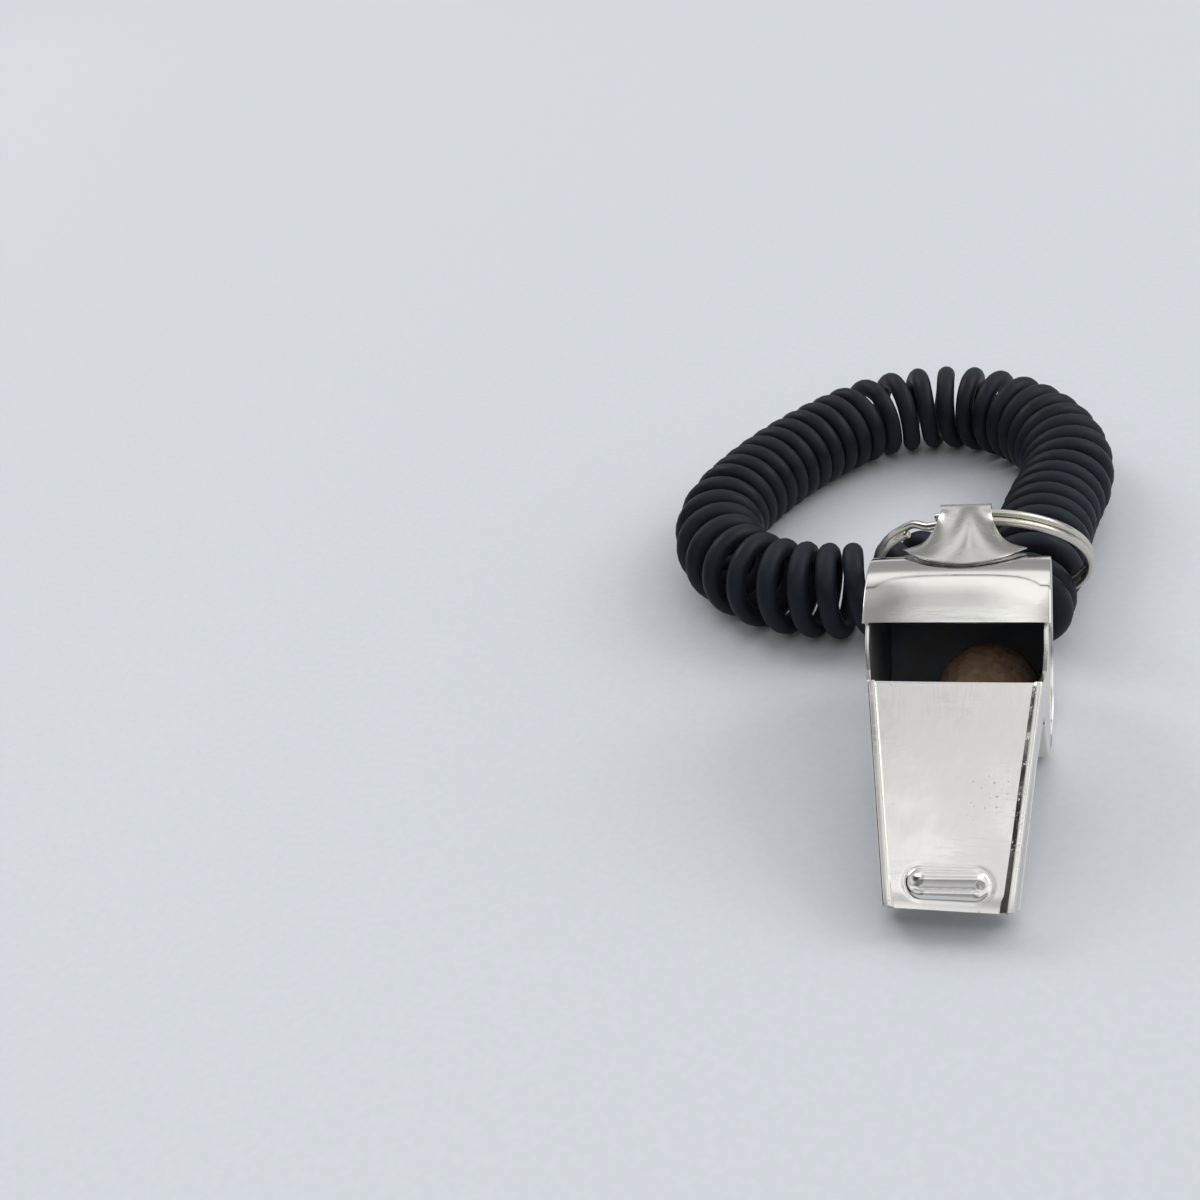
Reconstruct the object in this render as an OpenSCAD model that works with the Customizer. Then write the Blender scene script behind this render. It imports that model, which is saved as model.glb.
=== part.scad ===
// Pea whistle of folded sheet metal, with a split ring and a curly wrist coil.
// Millimetres. The whistle lies on Z = 0 with its mouthpiece towards -Y.

/* [Barrel] */
// Outer radius of the barrel
barrel_r = 12.7; // [11.5:0.1:14]
// Thickness of the band's sheet
band_sheet = 0.4; // [0.3:0.05:0.6]
// Width of the band along the barrel
band_w = 22; // [21.5:0.1:26]
// Angle of the lip, from the top towards the mouthpiece
lip_angle = 36; // [28:1:42]
// Angle where the wide band ends, from the top towards the mouthpiece
band_end_angle = 95; // [93:0.5:97]
// Angle where the chamber's narrow front wall ends
front_wall_angle = 72; // [70:0.5:75]

/* [Cheeks and mouthpiece] */
// Thickness of the cheeks' sheet
shell_sheet = 0.5; // [0.3:0.05:0.6]
// How far each cheek lies in from the band's edge
cheek_inset = 0.29; // [0.1:0.01:1.2]
// Width over the two cheeks at the mouthpiece's tip
tip_w = 14.2; // [11:0.1:18]
// Distance of the bend in each cheek from the barrel's axis
crease_y = 8.9; // [8:0.1:10]
// How far the cheek's edge lies inside the barrel at the window
window_edge_drop = 1.15; // [0.7:0.05:1.6]
// Distance of the cheek's corner at the window in front of the barrel
window_corner_ahead = 0.65; // [0.3:0.05:1.3]
// Height of that corner above the barrel's axis
window_corner_up = 6; // [5.5:0.1:6.6]
// Slope of the mouthpiece below level
mouth_slope = 31.6; // [29:0.1:33]
// Length of the mouthpiece's top edge, along the slope
mouth_l = 27.1; // [24:0.1:29]
// Depth of the cheek's arm, square to the slope
arm_depth = 4.3; // [3.8:0.1:4.8]
// Distance along the slope from the window's corner to the floor's fold
fold_start = 8.2; // [7.6:0.1:10]
// How far the floor lies above the arm's lower edge where the fold starts
fold_relief = 0.2; // [0.1:0.05:0.4]
// Radius of the fold between the floor and each cheek
fold_r = 0.9; // [0.6:0.05:1.2]

/* [Hems and top plate] */
// Width of each hem
hem_w = 1.15; // [0.9:0.05:1.5]
// Height of each hem above the plate
hem_h = 0.45; // [0.3:0.05:0.6]
// Thickness of the top plate
plate_sheet = 0.4; // [0.3:0.05:0.5]
// Depth of the plate's turned-down sides
flange_h = 1.6; // [1.2:0.1:2.2]
// How far the plate dips at the mouthpiece's tip
plate_dip = 0.45; // [0.2:0.05:0.6]
// Length of the tooth lug across the mouthpiece
lug_l = 9.3; // [7:0.1:10]
// Width of the tooth lug
lug_w = 3.6; // [3:0.1:4]
// Height of the tooth lug
lug_h = 0.55; // [0.3:0.05:0.8]
// Distance of the lug's centre from the mouthpiece's tip
lug_from_tip = 3; // [2.6:0.1:5]

/* [Bracket] */
// Thickness of the bracket's sheet
bracket_sheet = 0.4; // [0.3:0.05:0.5]
// Radius of the bracket's lobes
lobe_r = 8.1; // [7:0.1:9]
// Distance of the lobes' centre behind the barrel's axis
lobe_y = 8.6; // [8:0.1:9]
// How far the lower lobe bulges behind its widest place
lobe_back = 3; // [2.4:0.1:3.2]
// Radius of the hole in the eye
eye_bore_r = 1.6; // [1.55:0.05:1.8]
// Length of the eye along its hole
eye_l = 6.4; // [5:0.1:6.6]
// Distance of the eye's middle behind the barrel
eye_behind = 0.5; // [0.3:0.1:1.1]
// Distance of the eye's middle below the barrel's top
eye_drop = 0.35; // [0:0.05:0.7]
// Thickness of the solder under the bracket
solder_t = 0.2; // [0.1:0.05:0.4]
// How far the solder shows round the lower lobe
solder_rim = 0.35; // [0.2:0.05:0.6]

/* [Pea] */
// Diameter of the cork pea
pea_d = 12.6; // [10:0.1:14]
// Distance of the pea from the middle of the barrel
pea_x = 3.2; // [0:0.1:3.2]
// Room between the pea and the barrel under it
pea_gap = 0.3; // [0.2:0.05:0.5]

/* [Split ring] */
// Outer diameter of the split ring
ring_d = 29; // [28.4:0.1:29.6]
// Diameter of the ring's wire
ring_wire_d = 1.1; // [0.9:0.05:1.15]
// Angle by which the ring hangs back from upright
ring_back = 33; // [32:0.5:34]
// Angle by which the ring is slid to one side
ring_tilt = 8; // [6:0.5:8.5]
// Place of the wire's crossing, round the ring from its right side
crossing_angle = 114; // [110:1:120]
// Angle that the crossing takes on each side of its place
crossing_half = 7; // [6:1:8]

/* [Wrist coil] */
// Outer diameter of the coil
coil_d = 13.9; // [13.6:0.1:14]
// Diameter of the coil's cord
cord_d = 2.7; // [2.4:0.05:2.72]
// Distance from curl to curl on the inside of each bend
curl_pitch = 3.15; // [3.14:0.01:3.2]
// Height of the coil's underside above the table
coil_lift = 0.1; // [0.05:0.05:0.3]

/* [Hidden] */
$fn = 96;

// Room between sheets that are soldered or pressed together
seam = 0.05;
// Overrun of a cut past the face that it starts from
cut = 1;

// Barrel
cheek_w = band_w - 2 * cheek_inset;
band_in_r = barrel_r - band_sheet;
cheek_r = band_in_r - seam;
window_r = barrel_r - window_edge_drop;
// Angles of the cheek's corner above the mouthpiece and of the ledge below it
nub_angle = 63;
ledge_angle = 91.5;
// Angle by which the front wall runs on inside the wide band
wall_lap_angle = 2;

// Mouthpiece
window_corner_y = barrel_r + window_corner_ahead;
mouth_run = mouth_l * cos(mouth_slope);
taper_angle = atan((cheek_w - tip_w) / 2 / (mouth_run + window_corner_y - crease_y));
tip_y = -window_corner_y - mouth_run;
tip_depth = (barrel_r + window_corner_up) / cos(mouth_slope) - mouth_l * tan(mouth_slope);
fold_depth = arm_depth - fold_relief;
relief_l = 5 * fold_relief;
under_l = arm_depth * tan(mouth_slope) + relief_l / 4;
front_wall_w = cheek_w - 4 * shell_sheet + 4 * seam;
lug_end = mouth_l - lug_from_tip + lug_w / 2;

// Bracket
eye_r = eye_bore_r + bracket_sheet;
eye_mid_r = eye_bore_r + bracket_sheet / 2;
eye_y = barrel_r + eye_behind;
eye_z = 2 * barrel_r - eye_drop;
lower_lobe_r = barrel_r + solder_t;
upper_lobe_r = lower_lobe_r + bracket_sheet + seam;
lobe_back_r = (lobe_r * lobe_r + lobe_back * lobe_back) / 2 / lobe_back;
// Angle from the top where the eye's plain tube ends and the rear leaf wraps on
eye_wrap_angle = -108;
// Shares that shape the leaves: how late they widen, and how the upper one swells
leaf_flare_share = 2.8;
upper_swell_share = -0.3;
// Rows and columns of a leaf's surface, and the rows that wrap round the eye
leaf_rows = 10;
leaf_cols = 16;
wrap_rows = 5;

// The whistle stands centred on the origin
mid_y = (tip_y + eye_y + eye_r) / 2;

// Split ring: two flat turns of wire, one on the other
ring_r = (ring_d - ring_wire_d) / 2;
ring_step = ring_wire_d + seam;
// How far the wire lies above the middle of the eye, so that it clears both ends
ring_seat = eye_l * eye_l / 16 / ring_r + eye_l / 4 * sin(ring_tilt);
ring_across = [cos(ring_tilt), -sin(ring_tilt) * sin(ring_back), sin(ring_tilt) * cos(ring_back)];
ring_down = [sin(ring_tilt), cos(ring_tilt) * sin(ring_back), -cos(ring_tilt) * cos(ring_back)];
ring_mid = [0, eye_y, eye_z] + (ring_r - ring_seat) * ring_down;

// Wrist coil: its axis starts inside the ring and goes round in straight runs
// and bends, each with its length and the angle that it turns to the left
coil_start = [6.6, 19.1];
coil_heading = 81;
coil_runs = [
    [12, 0], [4.7, 2.6], [15.1, -8.8], [28, 59.1], [31.3, 90.6],
    [31.7, 26.9], [32.9, 95.2], [9.8, 16.5], [11.2, 35.5],
];
curls = 44;
// Curls at the start and at the end that lie close, and how wide the next one,
// which the ring goes through, is drawn open
first_close = 1.25;
last_close = 0.9;
first_open_share = 2.1;
last_open_share = 1.6;
start_phase = 127;
// Rings of points in a curl and sides of the cord
curl_rings = 8;
cord_sides = 6;
curl_r = (coil_d - cord_d) / 2;
coil_axis_z = coil_lift + coil_d / 2;

// Places in the side view, as [Y, Z]: round the barrel and along the mouthpiece
function on_barrel(angle, r) = [-r * sin(angle), barrel_r + r * cos(angle)];
function on_mouth(along, depth) = [
    -window_corner_y - along * cos(mouth_slope) + depth * sin(mouth_slope),
    barrel_r + window_corner_up - along * sin(mouth_slope) - depth * cos(mouth_slope),
];

// Half of the cheeks' plan, set in from their outer faces
function cheek_line(inset) = [
    [cheek_w / 2 - inset, barrel_r + cut],
    [cheek_w / 2 - inset, -crease_y + inset * tan(taper_angle / 2)],
    [cheek_line_x(tip_y - cut, inset), tip_y - cut],
];
function cheek_line_x(y, inset) =
    cheek_w / 2 + (y + crease_y) * tan(taper_angle) - inset / cos(taper_angle);
function reversed(points) = [for (i = [len(points) - 1:-1:0]) points[i]];
function mirrored(points) = [for (p = points) [-p[0], p[1]]];
function unit(v) = v / norm(v);

// The matrix that places a piece with its own X, Y and Z axes at a point
function placed(x, y, z, p) = [
    [x[0], y[0], z[0], p[0]],
    [x[1], y[1], z[1], p[1]],
    [x[2], y[2], z[2], p[2]],
    [0, 0, 0, 1],
];

module in_place() {
    translate([0, -mid_y, 0]) children();
}

// Draws a side view, Y to the right and Z up, across the whistle
module across(w) {
    rotate([90, 0, 90]) linear_extrude(w, center = true) children();
}

// Raises a plan over the whole height of the whistle
module upright() {
    linear_extrude(3 * barrel_r) children();
}

// A pie slice of the side view between two angles from the top
module slice(from, to, r) {
    steps = ceil((to - from) / 30);
    polygon(concat([[0, 0]], [
        for (i = [0:steps]) let (a = from + (to - from) * i / steps) [-r * sin(a), r * cos(a)]
    ]));
}

// A piece of a round wall between two angles from the top
module arc_wall(r_in, r_out, from, to) {
    intersection() {
        difference() {
            circle(r_out);
            circle(r_in);
        }
        slice(from, to, 2 * r_out);
    }
}

module round_barrel(r_in, r_out, from, to) {
    translate([0, barrel_r]) arc_wall(r_in, r_out, from, to);
}

module both_sides() {
    children();
    mirror([1, 0, 0]) children();
}

// The plan of both cheeks as walls between two insets
module cheek_walls(outer, inner) {
    wall = concat(cheek_line(outer), reversed(cheek_line(inner)));
    polygon(wall);
    polygon(mirrored(wall));
}

// The plan of what lies between the cheeks
module between_cheeks(inset) {
    polygon(concat(cheek_line(inset), reversed(mirrored(cheek_line(inset)))));
}

// One cheek from the side: a disc with the window's edge, and the arm
module cheek_outline() {
    difference() {
        translate([0, barrel_r]) circle(cheek_r);
        round_barrel(window_r, 2 * barrel_r, lip_angle, ledge_angle - wall_lap_angle);
    }
    polygon([
        on_barrel(nub_angle, window_r),
        on_mouth(0, hem_h),
        on_mouth(mouth_l, hem_h),
        on_mouth(mouth_l, tip_depth),
        on_mouth(fold_start, fold_depth),
        on_mouth(fold_start - relief_l, arm_depth),
        on_mouth(under_l, arm_depth),
        on_barrel(ledge_angle, cheek_r),
        on_barrel(ledge_angle, crease_y),
        on_barrel(nub_angle, crease_y),
    ]);
}

// The floor of the mouthpiece from the side
module floor_outline() {
    polygon([
        on_mouth(fold_start, fold_depth),
        on_mouth(mouth_l, tip_depth),
        on_mouth(mouth_l, tip_depth - shell_sheet),
        on_mouth(fold_start, fold_depth - shell_sheet),
    ]);
}

// The tongue that rises from the floor to the chamber's front wall
module tongue_outline() {
    wall_top = upper_wall_depth();
    difference() {
        polygon([
            on_mouth(fold_start + fold_r, fold_depth),
            on_mouth(fold_start + fold_r, fold_depth - shell_sheet),
            on_mouth(0, wall_top),
            on_mouth(0, wall_top + shell_sheet),
        ]);
        translate([0, barrel_r]) circle(barrel_r + seam);
    }
}
// Depth of the front wall's top below the mouthpiece's top edge
function upper_wall_depth() =
    let (p = on_barrel(front_wall_angle, barrel_r) - on_mouth(0, 0))
    p * [sin(mouth_slope), -cos(mouth_slope)];

// The section of a hem: X points in from the cheek's outer face, Y out of the plate
module hem_section() {
    inner_round = hem_h / 3;
    difference() {
        union() {
            square([hem_w, hem_h]);
            translate([seam, -hem_h]) square([shell_sheet - 2 * seam, 3 / 2 * hem_h]);
        }
        difference() {
            translate([-seam, 0]) square([hem_h + seam, hem_h + seam]);
            translate([hem_h, 0]) circle(hem_h);
        }
        difference() {
            translate([hem_w - inner_round, hem_h - inner_round]) square(inner_round + seam);
            translate([hem_w - inner_round, hem_h - inner_round]) circle(inner_round);
        }
    }
}

// One hem, on the +X side
module hem() {
    a = on_mouth(0, hem_h);
    b = on_mouth(mouth_l, hem_h);
    rear = [cheek_line_x(a[0], 0), a[0], a[1]];
    tip = [cheek_line_x(b[0], 0), b[0], b[1]];
    along = unit(rear - tip);
    out = [0, -sin(mouth_slope), cos(mouth_slope)];
    intersection() {
        multmatrix(placed(cross(out, along), out, along, tip - cut * along))
            linear_extrude(norm(rear - tip) + 2 * cut) hem_section();
        across(2 * cheek_w)
            polygon([
                on_mouth(0, -hem_h), on_mouth(mouth_l, -hem_h),
                on_mouth(mouth_l, arm_depth), on_mouth(0, arm_depth),
            ]);
    }
}

// What rounds the fold between the floor and the cheek, on the +X side
module fold_cut() {
    a = on_mouth(fold_start, fold_depth);
    b = on_mouth(mouth_l, tip_depth);
    rear = [cheek_line_x(a[0], 0), a[0], a[1]];
    tip = [cheek_line_x(b[0], 0), b[0], b[1]];
    along = unit(tip - rear);
    cheek_out = [cos(taper_angle), -sin(taper_angle), 0];
    floor_out = unit([0, rear[2] - tip[2], tip[1] - rear[1]]);
    up = cross(along, cheek_out);
    corner = 180 - acos(cheek_out * floor_out);
    reach = fold_r / tan(corner / 2);
    multmatrix(placed(up, -cheek_out, along, rear))
        linear_extrude(norm(rear - tip) + cut)
        difference() {
            polygon([
                [-cut, -cut],
                [reach, -cut],
                [reach, fold_r],
                reach * [cos(corner), sin(corner)] + cut * [-sin(corner), cos(corner)],
            ]);
            translate([reach, fold_r]) circle(fold_r);
        }
}

module body_shell() {
    color("silver") in_place() {
        difference() {
            union() {
                intersection() {
                    across(2 * cheek_w) cheek_outline();
                    upright() cheek_walls(0, shell_sheet);
                }
                intersection() {
                    across(2 * cheek_w) floor_outline();
                    upright() between_cheeks(0);
                }
            }
            both_sides() fold_cut();
        }
        intersection() {
            across(2 * cheek_w) tongue_outline();
            upright() between_cheeks(shell_sheet + seam);
        }
        both_sides() hem();
    }
}

module barrel_band() {
    color("gainsboro") in_place() {
        across(band_w)
            round_barrel(band_in_r, barrel_r, band_end_angle - 360, lip_angle);
        across(front_wall_w)
            round_barrel(band_in_r, barrel_r, front_wall_angle, band_end_angle + wall_lap_angle);
    }
}

// The tooth lug, on the plate and standing out of it
module lug(l, w, h) {
    linear_extrude(h) {
        square([l - w, w], center = true);
        for (side = [-1, 1]) translate([side * (l - w) / 2, 0]) circle(w / 2);
    }
}

module top_plate() {
    lug_at = on_mouth(mouth_l - lug_from_tip, hem_h + plate_sheet / 2);
    color("whitesmoke") in_place() {
        intersection() {
            across(2 * cheek_w)
                polygon([
                    on_mouth(0, hem_h),
                    on_mouth(lug_end, hem_h),
                    on_mouth(mouth_l, hem_h + plate_dip),
                    on_mouth(mouth_l, hem_h + plate_dip + plate_sheet),
                    on_mouth(lug_end, hem_h + plate_sheet),
                    on_mouth(0, hem_h + plate_sheet),
                ]);
            upright() between_cheeks(shell_sheet + seam);
        }
        intersection() {
            across(2 * cheek_w)
                polygon([
                    on_mouth(0, hem_h),
                    on_mouth(lug_end, hem_h),
                    on_mouth(mouth_l, hem_h + plate_dip),
                    on_mouth(mouth_l, hem_h + flange_h),
                    on_mouth(0, hem_h + flange_h),
                ]);
            upright() cheek_walls(shell_sheet + seam, shell_sheet + seam + plate_sheet);
        }
        translate([0, lug_at[0], lug_at[1]]) rotate([mouth_slope, 0, 0]) {
            lug(lug_l, lug_w, plate_sheet / 2 + lug_h / 3);
            lug(lug_l - lug_w / 2, lug_w / 2, plate_sheet / 2 + lug_h);
        }
    }
}

// A sheet of metal from a grid of points in its middle surface
module sheet(grid, t) {
    rows = len(grid);
    cols = len(grid[0]);
    count = rows * cols;
    normal = function (r, c)
        unit(cross(grid[min(r + 1, rows - 1)][c] - grid[max(r - 1, 0)][c],
                   grid[r][min(c + 1, cols - 1)] - grid[r][max(c - 1, 0)]));
    points = [
        for (side = [1, -1], r = [0:rows - 1], c = [0:cols - 1])
            grid[r][c] + side * t / 2 * normal(r, c)
    ];
    at = function (side, r, c) side * count + r * cols + c;
    quad = function (a, b, c, d) [[a, b, c], [a, c, d]];
    faces = concat(
        [for (r = [0:rows - 2], c = [0:cols - 2], f = quad(
            at(0, r, c), at(0, r, c + 1), at(0, r + 1, c + 1), at(0, r + 1, c))) f],
        [for (r = [0:rows - 2], c = [0:cols - 2], f = quad(
            at(1, r, c), at(1, r + 1, c), at(1, r + 1, c + 1), at(1, r, c + 1))) f],
        [for (r = [0:rows - 2], f = quad(
            at(0, r, 0), at(0, r + 1, 0), at(1, r + 1, 0), at(1, r, 0))) f],
        [for (r = [0:rows - 2], f = quad(
            at(0, r + 1, cols - 1), at(0, r, cols - 1), at(1, r, cols - 1), at(1, r + 1, cols - 1))) f],
        [for (c = [0:cols - 2], f = quad(
            at(0, 0, c + 1), at(0, 0, c), at(1, 0, c), at(1, 0, c + 1))) f],
        [for (c = [0:cols - 2], f = quad(
            at(0, rows - 1, c), at(0, rows - 1, c + 1), at(1, rows - 1, c + 1), at(1, rows - 1, c))) f]
    );
    polyhedron(points, faces);
}

// A point of a leaf between the eye and the lobe: across from -1 to 1, down from 0
// at the eye to 1 at the lobe, swelling backwards and up by a share of its length
function leaf_point(eye, rim, across, down, swell_share) =
    let (length = norm(rim - eye), swell = 4 * swell_share * down * (1 - down))
    [
        eye[0] + (rim[0] - eye[0]) * pow(down, leaf_flare_share),
        eye[1] + (rim[1] - eye[1]) * down + swell * bracket_sheet * length / eye_l,
        eye[2] + (rim[2] - eye[2]) * down + swell * bracket_sheet * length / eye_l,
    ];
function height_on(r, y) = barrel_r + sqrt(r * r - y * y);

// The rims that the leaves run down to, each from one side to the other
function front_rim(across) =
    let (y = lobe_y - lobe_r * cos(90 * across))
    [lobe_r * sin(90 * across), y, height_on(upper_lobe_r + bracket_sheet / 2, y)];
function back_rim(across) =
    let (turn = asin(lobe_r / lobe_back_r) * across,
         y = lobe_y + lobe_back - lobe_back_r * (1 - cos(turn)))
    [lobe_back_r * sin(turn), y, height_on(lower_lobe_r + bracket_sheet / 2, y)];

// The plan of the lower lobe, with a margin round it
module lobe_plan(margin) {
    intersection() {
        translate([0, lobe_y]) circle(lobe_r + margin);
        translate([0, lobe_y + lobe_back - lobe_back_r]) circle(lobe_back_r + margin);
    }
}

// A point round the eye, and the angle where a straight line to a rim leaves it, on
// the upper side (1) or the lower side (-1)
function on_eye(x, angle) = [x, eye_y - eye_mid_r * sin(angle), eye_z + eye_mid_r * cos(angle)];
function leave_angle(rim, side) =
    let (way = [rim[1] - eye_y, rim[2] - eye_z], turn = atan2(way[1], way[0]))
    (turn - 90 + (turn < 0 && side > 0 ? 360 : 0)) - side * acos(eye_mid_r / norm(way));

// A leaf's points, row by row from the eye's tube round the eye and down to its rim
function leaf_grid(rim, from, side, swell_share) = [
    for (r = [-wrap_rows:leaf_rows]) [
        for (c = [0:leaf_cols])
            let (x = 2 * c / leaf_cols - 1,
                 leave = leave_angle(rim(x), side),
                 angle = leave + (from - leave) * max(-r, 0) / wrap_rows)
            leaf_point(on_eye(eye_l / 2 * x, angle), rim(x), x, max(r, 0) / leaf_rows, swell_share)
    ]
];

module ring_bracket() {
    color("darkgray") in_place() {
        across(eye_l)
            translate([eye_y, eye_z]) arc_wall(eye_bore_r, eye_r, eye_wrap_angle, 0);
        sheet(leaf_grid(function (x) front_rim(x), 0, 1, upper_swell_share), bracket_sheet);
        sheet(leaf_grid(function (x) back_rim(x), eye_wrap_angle, -1, 0), bracket_sheet);
        intersection() {
            across(band_w)
                round_barrel(lower_lobe_r, lower_lobe_r + bracket_sheet, -90, 0);
            upright() lobe_plan(0);
        }
    }
}

module bracket_solder() {
    color("dimgray") in_place() intersection() {
        across(band_w)
            round_barrel(barrel_r + seam / 2, lower_lobe_r - seam / 2, -90, 2);
        upright() lobe_plan(solder_rim);
    }
}

module cork_pea() {
    color("saddlebrown") in_place()
        translate([pea_x, 0, band_sheet + pea_gap + pea_d / 2]) sphere(d = pea_d);
}

// One flat turn of the ring's wire, from one side of the crossing to the other
module ring_turn(z, from, to) {
    translate([0, 0, z]) rotate([0, 0, from])
        rotate_extrude(angle = to - from)
        translate([ring_r, 0]) circle(d = ring_wire_d);
}

module split_ring() {
    first = crossing_angle + crossing_half;
    last = crossing_angle - crossing_half + 360;
    cross_from = [ring_r * cos(last), ring_r * sin(last), ring_step / 2];
    cross_to = [ring_r * cos(first), ring_r * sin(first), -ring_step / 2];
    along = unit(cross_to - cross_from);
    side = unit(cross([0, 0, 1], along));
    color("lightgray") in_place()
        multmatrix(placed(ring_across, -ring_down, cross(ring_across, -ring_down), ring_mid)) {
            ring_turn(ring_step / 2, first + crossing_half / 3, last);
            ring_turn(-ring_step / 2, first, last - crossing_half / 3);
            multmatrix(placed(side, cross(along, side), along, cross_from - ring_wire_d / 3 * along))
                cylinder(h = norm(cross_to - cross_from) + 2 / 3 * ring_wire_d, d = ring_wire_d - seam);
        }
}

// Where the coil's axis is after a length of a run, as [X, Y, heading]
function along_run(from, run, length) =
    let (turned = run[1] * length / run[0])
    run[1] == 0
        ? [from[0] + length * cos(from[2]), from[1] + length * sin(from[2]), from[2]]
        : let (r = run[0] * 180 / PI / run[1])
          [
              from[0] + r * (sin(from[2] + turned) - sin(from[2])),
              from[1] - r * (cos(from[2] + turned) - cos(from[2])),
              from[2] + turned,
          ];
function run_start(i) =
    i == 0
        ? [coil_start[0], coil_start[1], coil_heading]
        : along_run(run_start(i - 1), coil_runs[i - 1], coil_runs[i - 1][0]);
// Closed curls that fit into a run, counted on the inside of its bend
function run_curls(i) = (coil_runs[i][0] - curl_r * abs(coil_runs[i][1]) * PI / 180) / curl_pitch;
function curls_before(i) = i == 0 ? 0 : curls_before(i - 1) + run_curls(i - 1);
run_starts = [for (i = [0:len(coil_runs) - 1]) run_start(i)];
run_firsts = [for (i = [0:len(coil_runs) - 1]) curls_before(i)];
function run_at(turn) =
    max([for (i = [0:len(coil_runs) - 1]) if (i == 0 || run_firsts[i] <= turn) i]);
function coil_axis(turn) =
    let (i = run_at(turn))
    along_run(run_starts[i], coil_runs[i], (turn - run_firsts[i]) / run_curls(i) * coil_runs[i][0]);
// Closed curls' worth of axis used up after so many curls, with an open one at each end
function opened(turn, first) = min(max(turn - first, 0), 1);
function spent(turn) =
    turn + (first_open_share - 1) * opened(turn, first_close)
         + (last_open_share - 1) * opened(turn, curls - last_close - 1);
function coil_out(turn) =
    let (axis = coil_axis(spent(turn)), phase = start_phase + 360 * turn)
    [-sin(axis[2]) * cos(phase), cos(axis[2]) * cos(phase), sin(phase)];
function coil_point(turn) =
    let (axis = coil_axis(spent(turn)))
    [axis[0], axis[1], coil_axis_z] + curl_r * coil_out(turn);

curl_turns = [for (i = [0:curls * curl_rings]) i / curl_rings];
curl_line = [for (turn = curl_turns) coil_point(turn)];
first_way = unit(curl_line[0] - curl_line[1]);
last_way = unit(curl_line[len(curl_line) - 1] - curl_line[len(curl_line) - 2]);
cord_line = concat(
    [curl_line[0] + cord_d * first_way],
    curl_line,
    [curl_line[len(curl_line) - 1] + cord_d * last_way]
);
cord_outs = [
    for (turn = concat([0], curl_turns, [curls])) coil_out(turn)
];

// Least gap of the cord to itself, between points more than half a curl apart
coil_gap = min([
    for (i = [0:len(cord_line) - 1], j = [i + curl_rings / 2 + 1:1:len(cord_line) - 1])
        norm(cord_line[i] - cord_line[j])
]) - cord_d;
echo(coil_gap = coil_gap);
echo(coil_end = coil_axis(spent(curls)), spare_curls = curls_before(len(coil_runs)) - spent(curls));

module wrist_coil() {
    last = len(cord_line) - 1;
    points = [
        for (i = [0:last])
            let (way = unit(cord_line[min(i + 1, last)] - cord_line[max(i - 1, 0)]),
                 out = unit(cord_outs[i] - (cord_outs[i] * way) * way),
                 side = cross(way, out))
            for (s = [0:cord_sides - 1])
                cord_line[i] + cord_d / 2 * (cos(s * 360 / cord_sides) * out + sin(s * 360 / cord_sides) * side)
    ];
    skin = [
        for (i = [0:last - 1], s = [0:cord_sides - 1])
            let (a = i * cord_sides + s,
                 b = i * cord_sides + (s + 1) % cord_sides)
            for (f = [[a, a + cord_sides, b + cord_sides], [a, b + cord_sides, b]]) f
    ];
    ends = [
        for (s = [1:cord_sides - 2])
            for (f = [
                [0, s, s + 1],
                [last * cord_sides, last * cord_sides + s + 1, last * cord_sides + s],
            ]) f
    ];
    color("darkslategray") in_place() polyhedron(points, concat(skin, ends));
}

body_shell();
barrel_band();
top_plate();
ring_bracket();
bracket_solder();
cork_pea();
split_ring();
wrist_coil();
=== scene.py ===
"""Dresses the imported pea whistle: folded nickel sheet, cork pea, split ring and curly wrist coil.

The metal pieces are modelled in millimetres about the barrel's axis, with the mouthpiece
towards -Y and Z up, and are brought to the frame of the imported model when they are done.
"""
import logging
import math
from collections.abc import Callable, Sequence
from dataclasses import dataclass
from enum import Enum

import bmesh
import bpy
from mathutils import Matrix, Vector, noise


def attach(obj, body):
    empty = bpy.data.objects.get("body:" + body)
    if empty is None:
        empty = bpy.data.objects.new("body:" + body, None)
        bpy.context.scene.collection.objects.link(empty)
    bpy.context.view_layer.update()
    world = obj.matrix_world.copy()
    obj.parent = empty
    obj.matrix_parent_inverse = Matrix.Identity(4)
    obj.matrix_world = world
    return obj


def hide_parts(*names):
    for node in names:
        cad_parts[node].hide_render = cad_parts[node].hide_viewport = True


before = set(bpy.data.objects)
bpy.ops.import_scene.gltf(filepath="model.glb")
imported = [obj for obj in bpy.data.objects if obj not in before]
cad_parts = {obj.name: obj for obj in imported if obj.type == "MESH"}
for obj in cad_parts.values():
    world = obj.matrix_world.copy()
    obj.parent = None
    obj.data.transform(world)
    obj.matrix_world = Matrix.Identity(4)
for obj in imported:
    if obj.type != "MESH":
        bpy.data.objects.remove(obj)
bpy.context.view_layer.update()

log = logging.getLogger("whistle")

MM = 0.001
AXIS = Vector((0.0, 10.616, 12.7))
PHOTO_PIXELS = 1200
WELD = 1e-5

Point = tuple[float, float, float]
Colour = tuple[float, float, float, float]
Pair = tuple[float, float]
Outline = list[Pair]
Piece = bpy.types.Object
Socket = bpy.types.NodeSocket
Material = bpy.types.Material


class Body(Enum):
    """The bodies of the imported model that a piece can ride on."""

    WHISTLE = "whistle"
    PEA = "pea"
    RING = "ring"
    COIL = "coil"


# Small sums

def blend_step(low: float, high: float, value: float) -> float:
    """Rises smoothly from 0 at low to 1 at high."""
    share = min(max((value - low) / (high - low), 0.0), 1.0)
    return share * share * (3 - 2 * share)


def plateau(rise: Pair, fall: Pair, value: float) -> float:
    """Rises smoothly from 0 to 1 over one range and falls back to 0 over another."""
    return blend_step(*rise, value) * (1 - blend_step(*fall, value))


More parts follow.
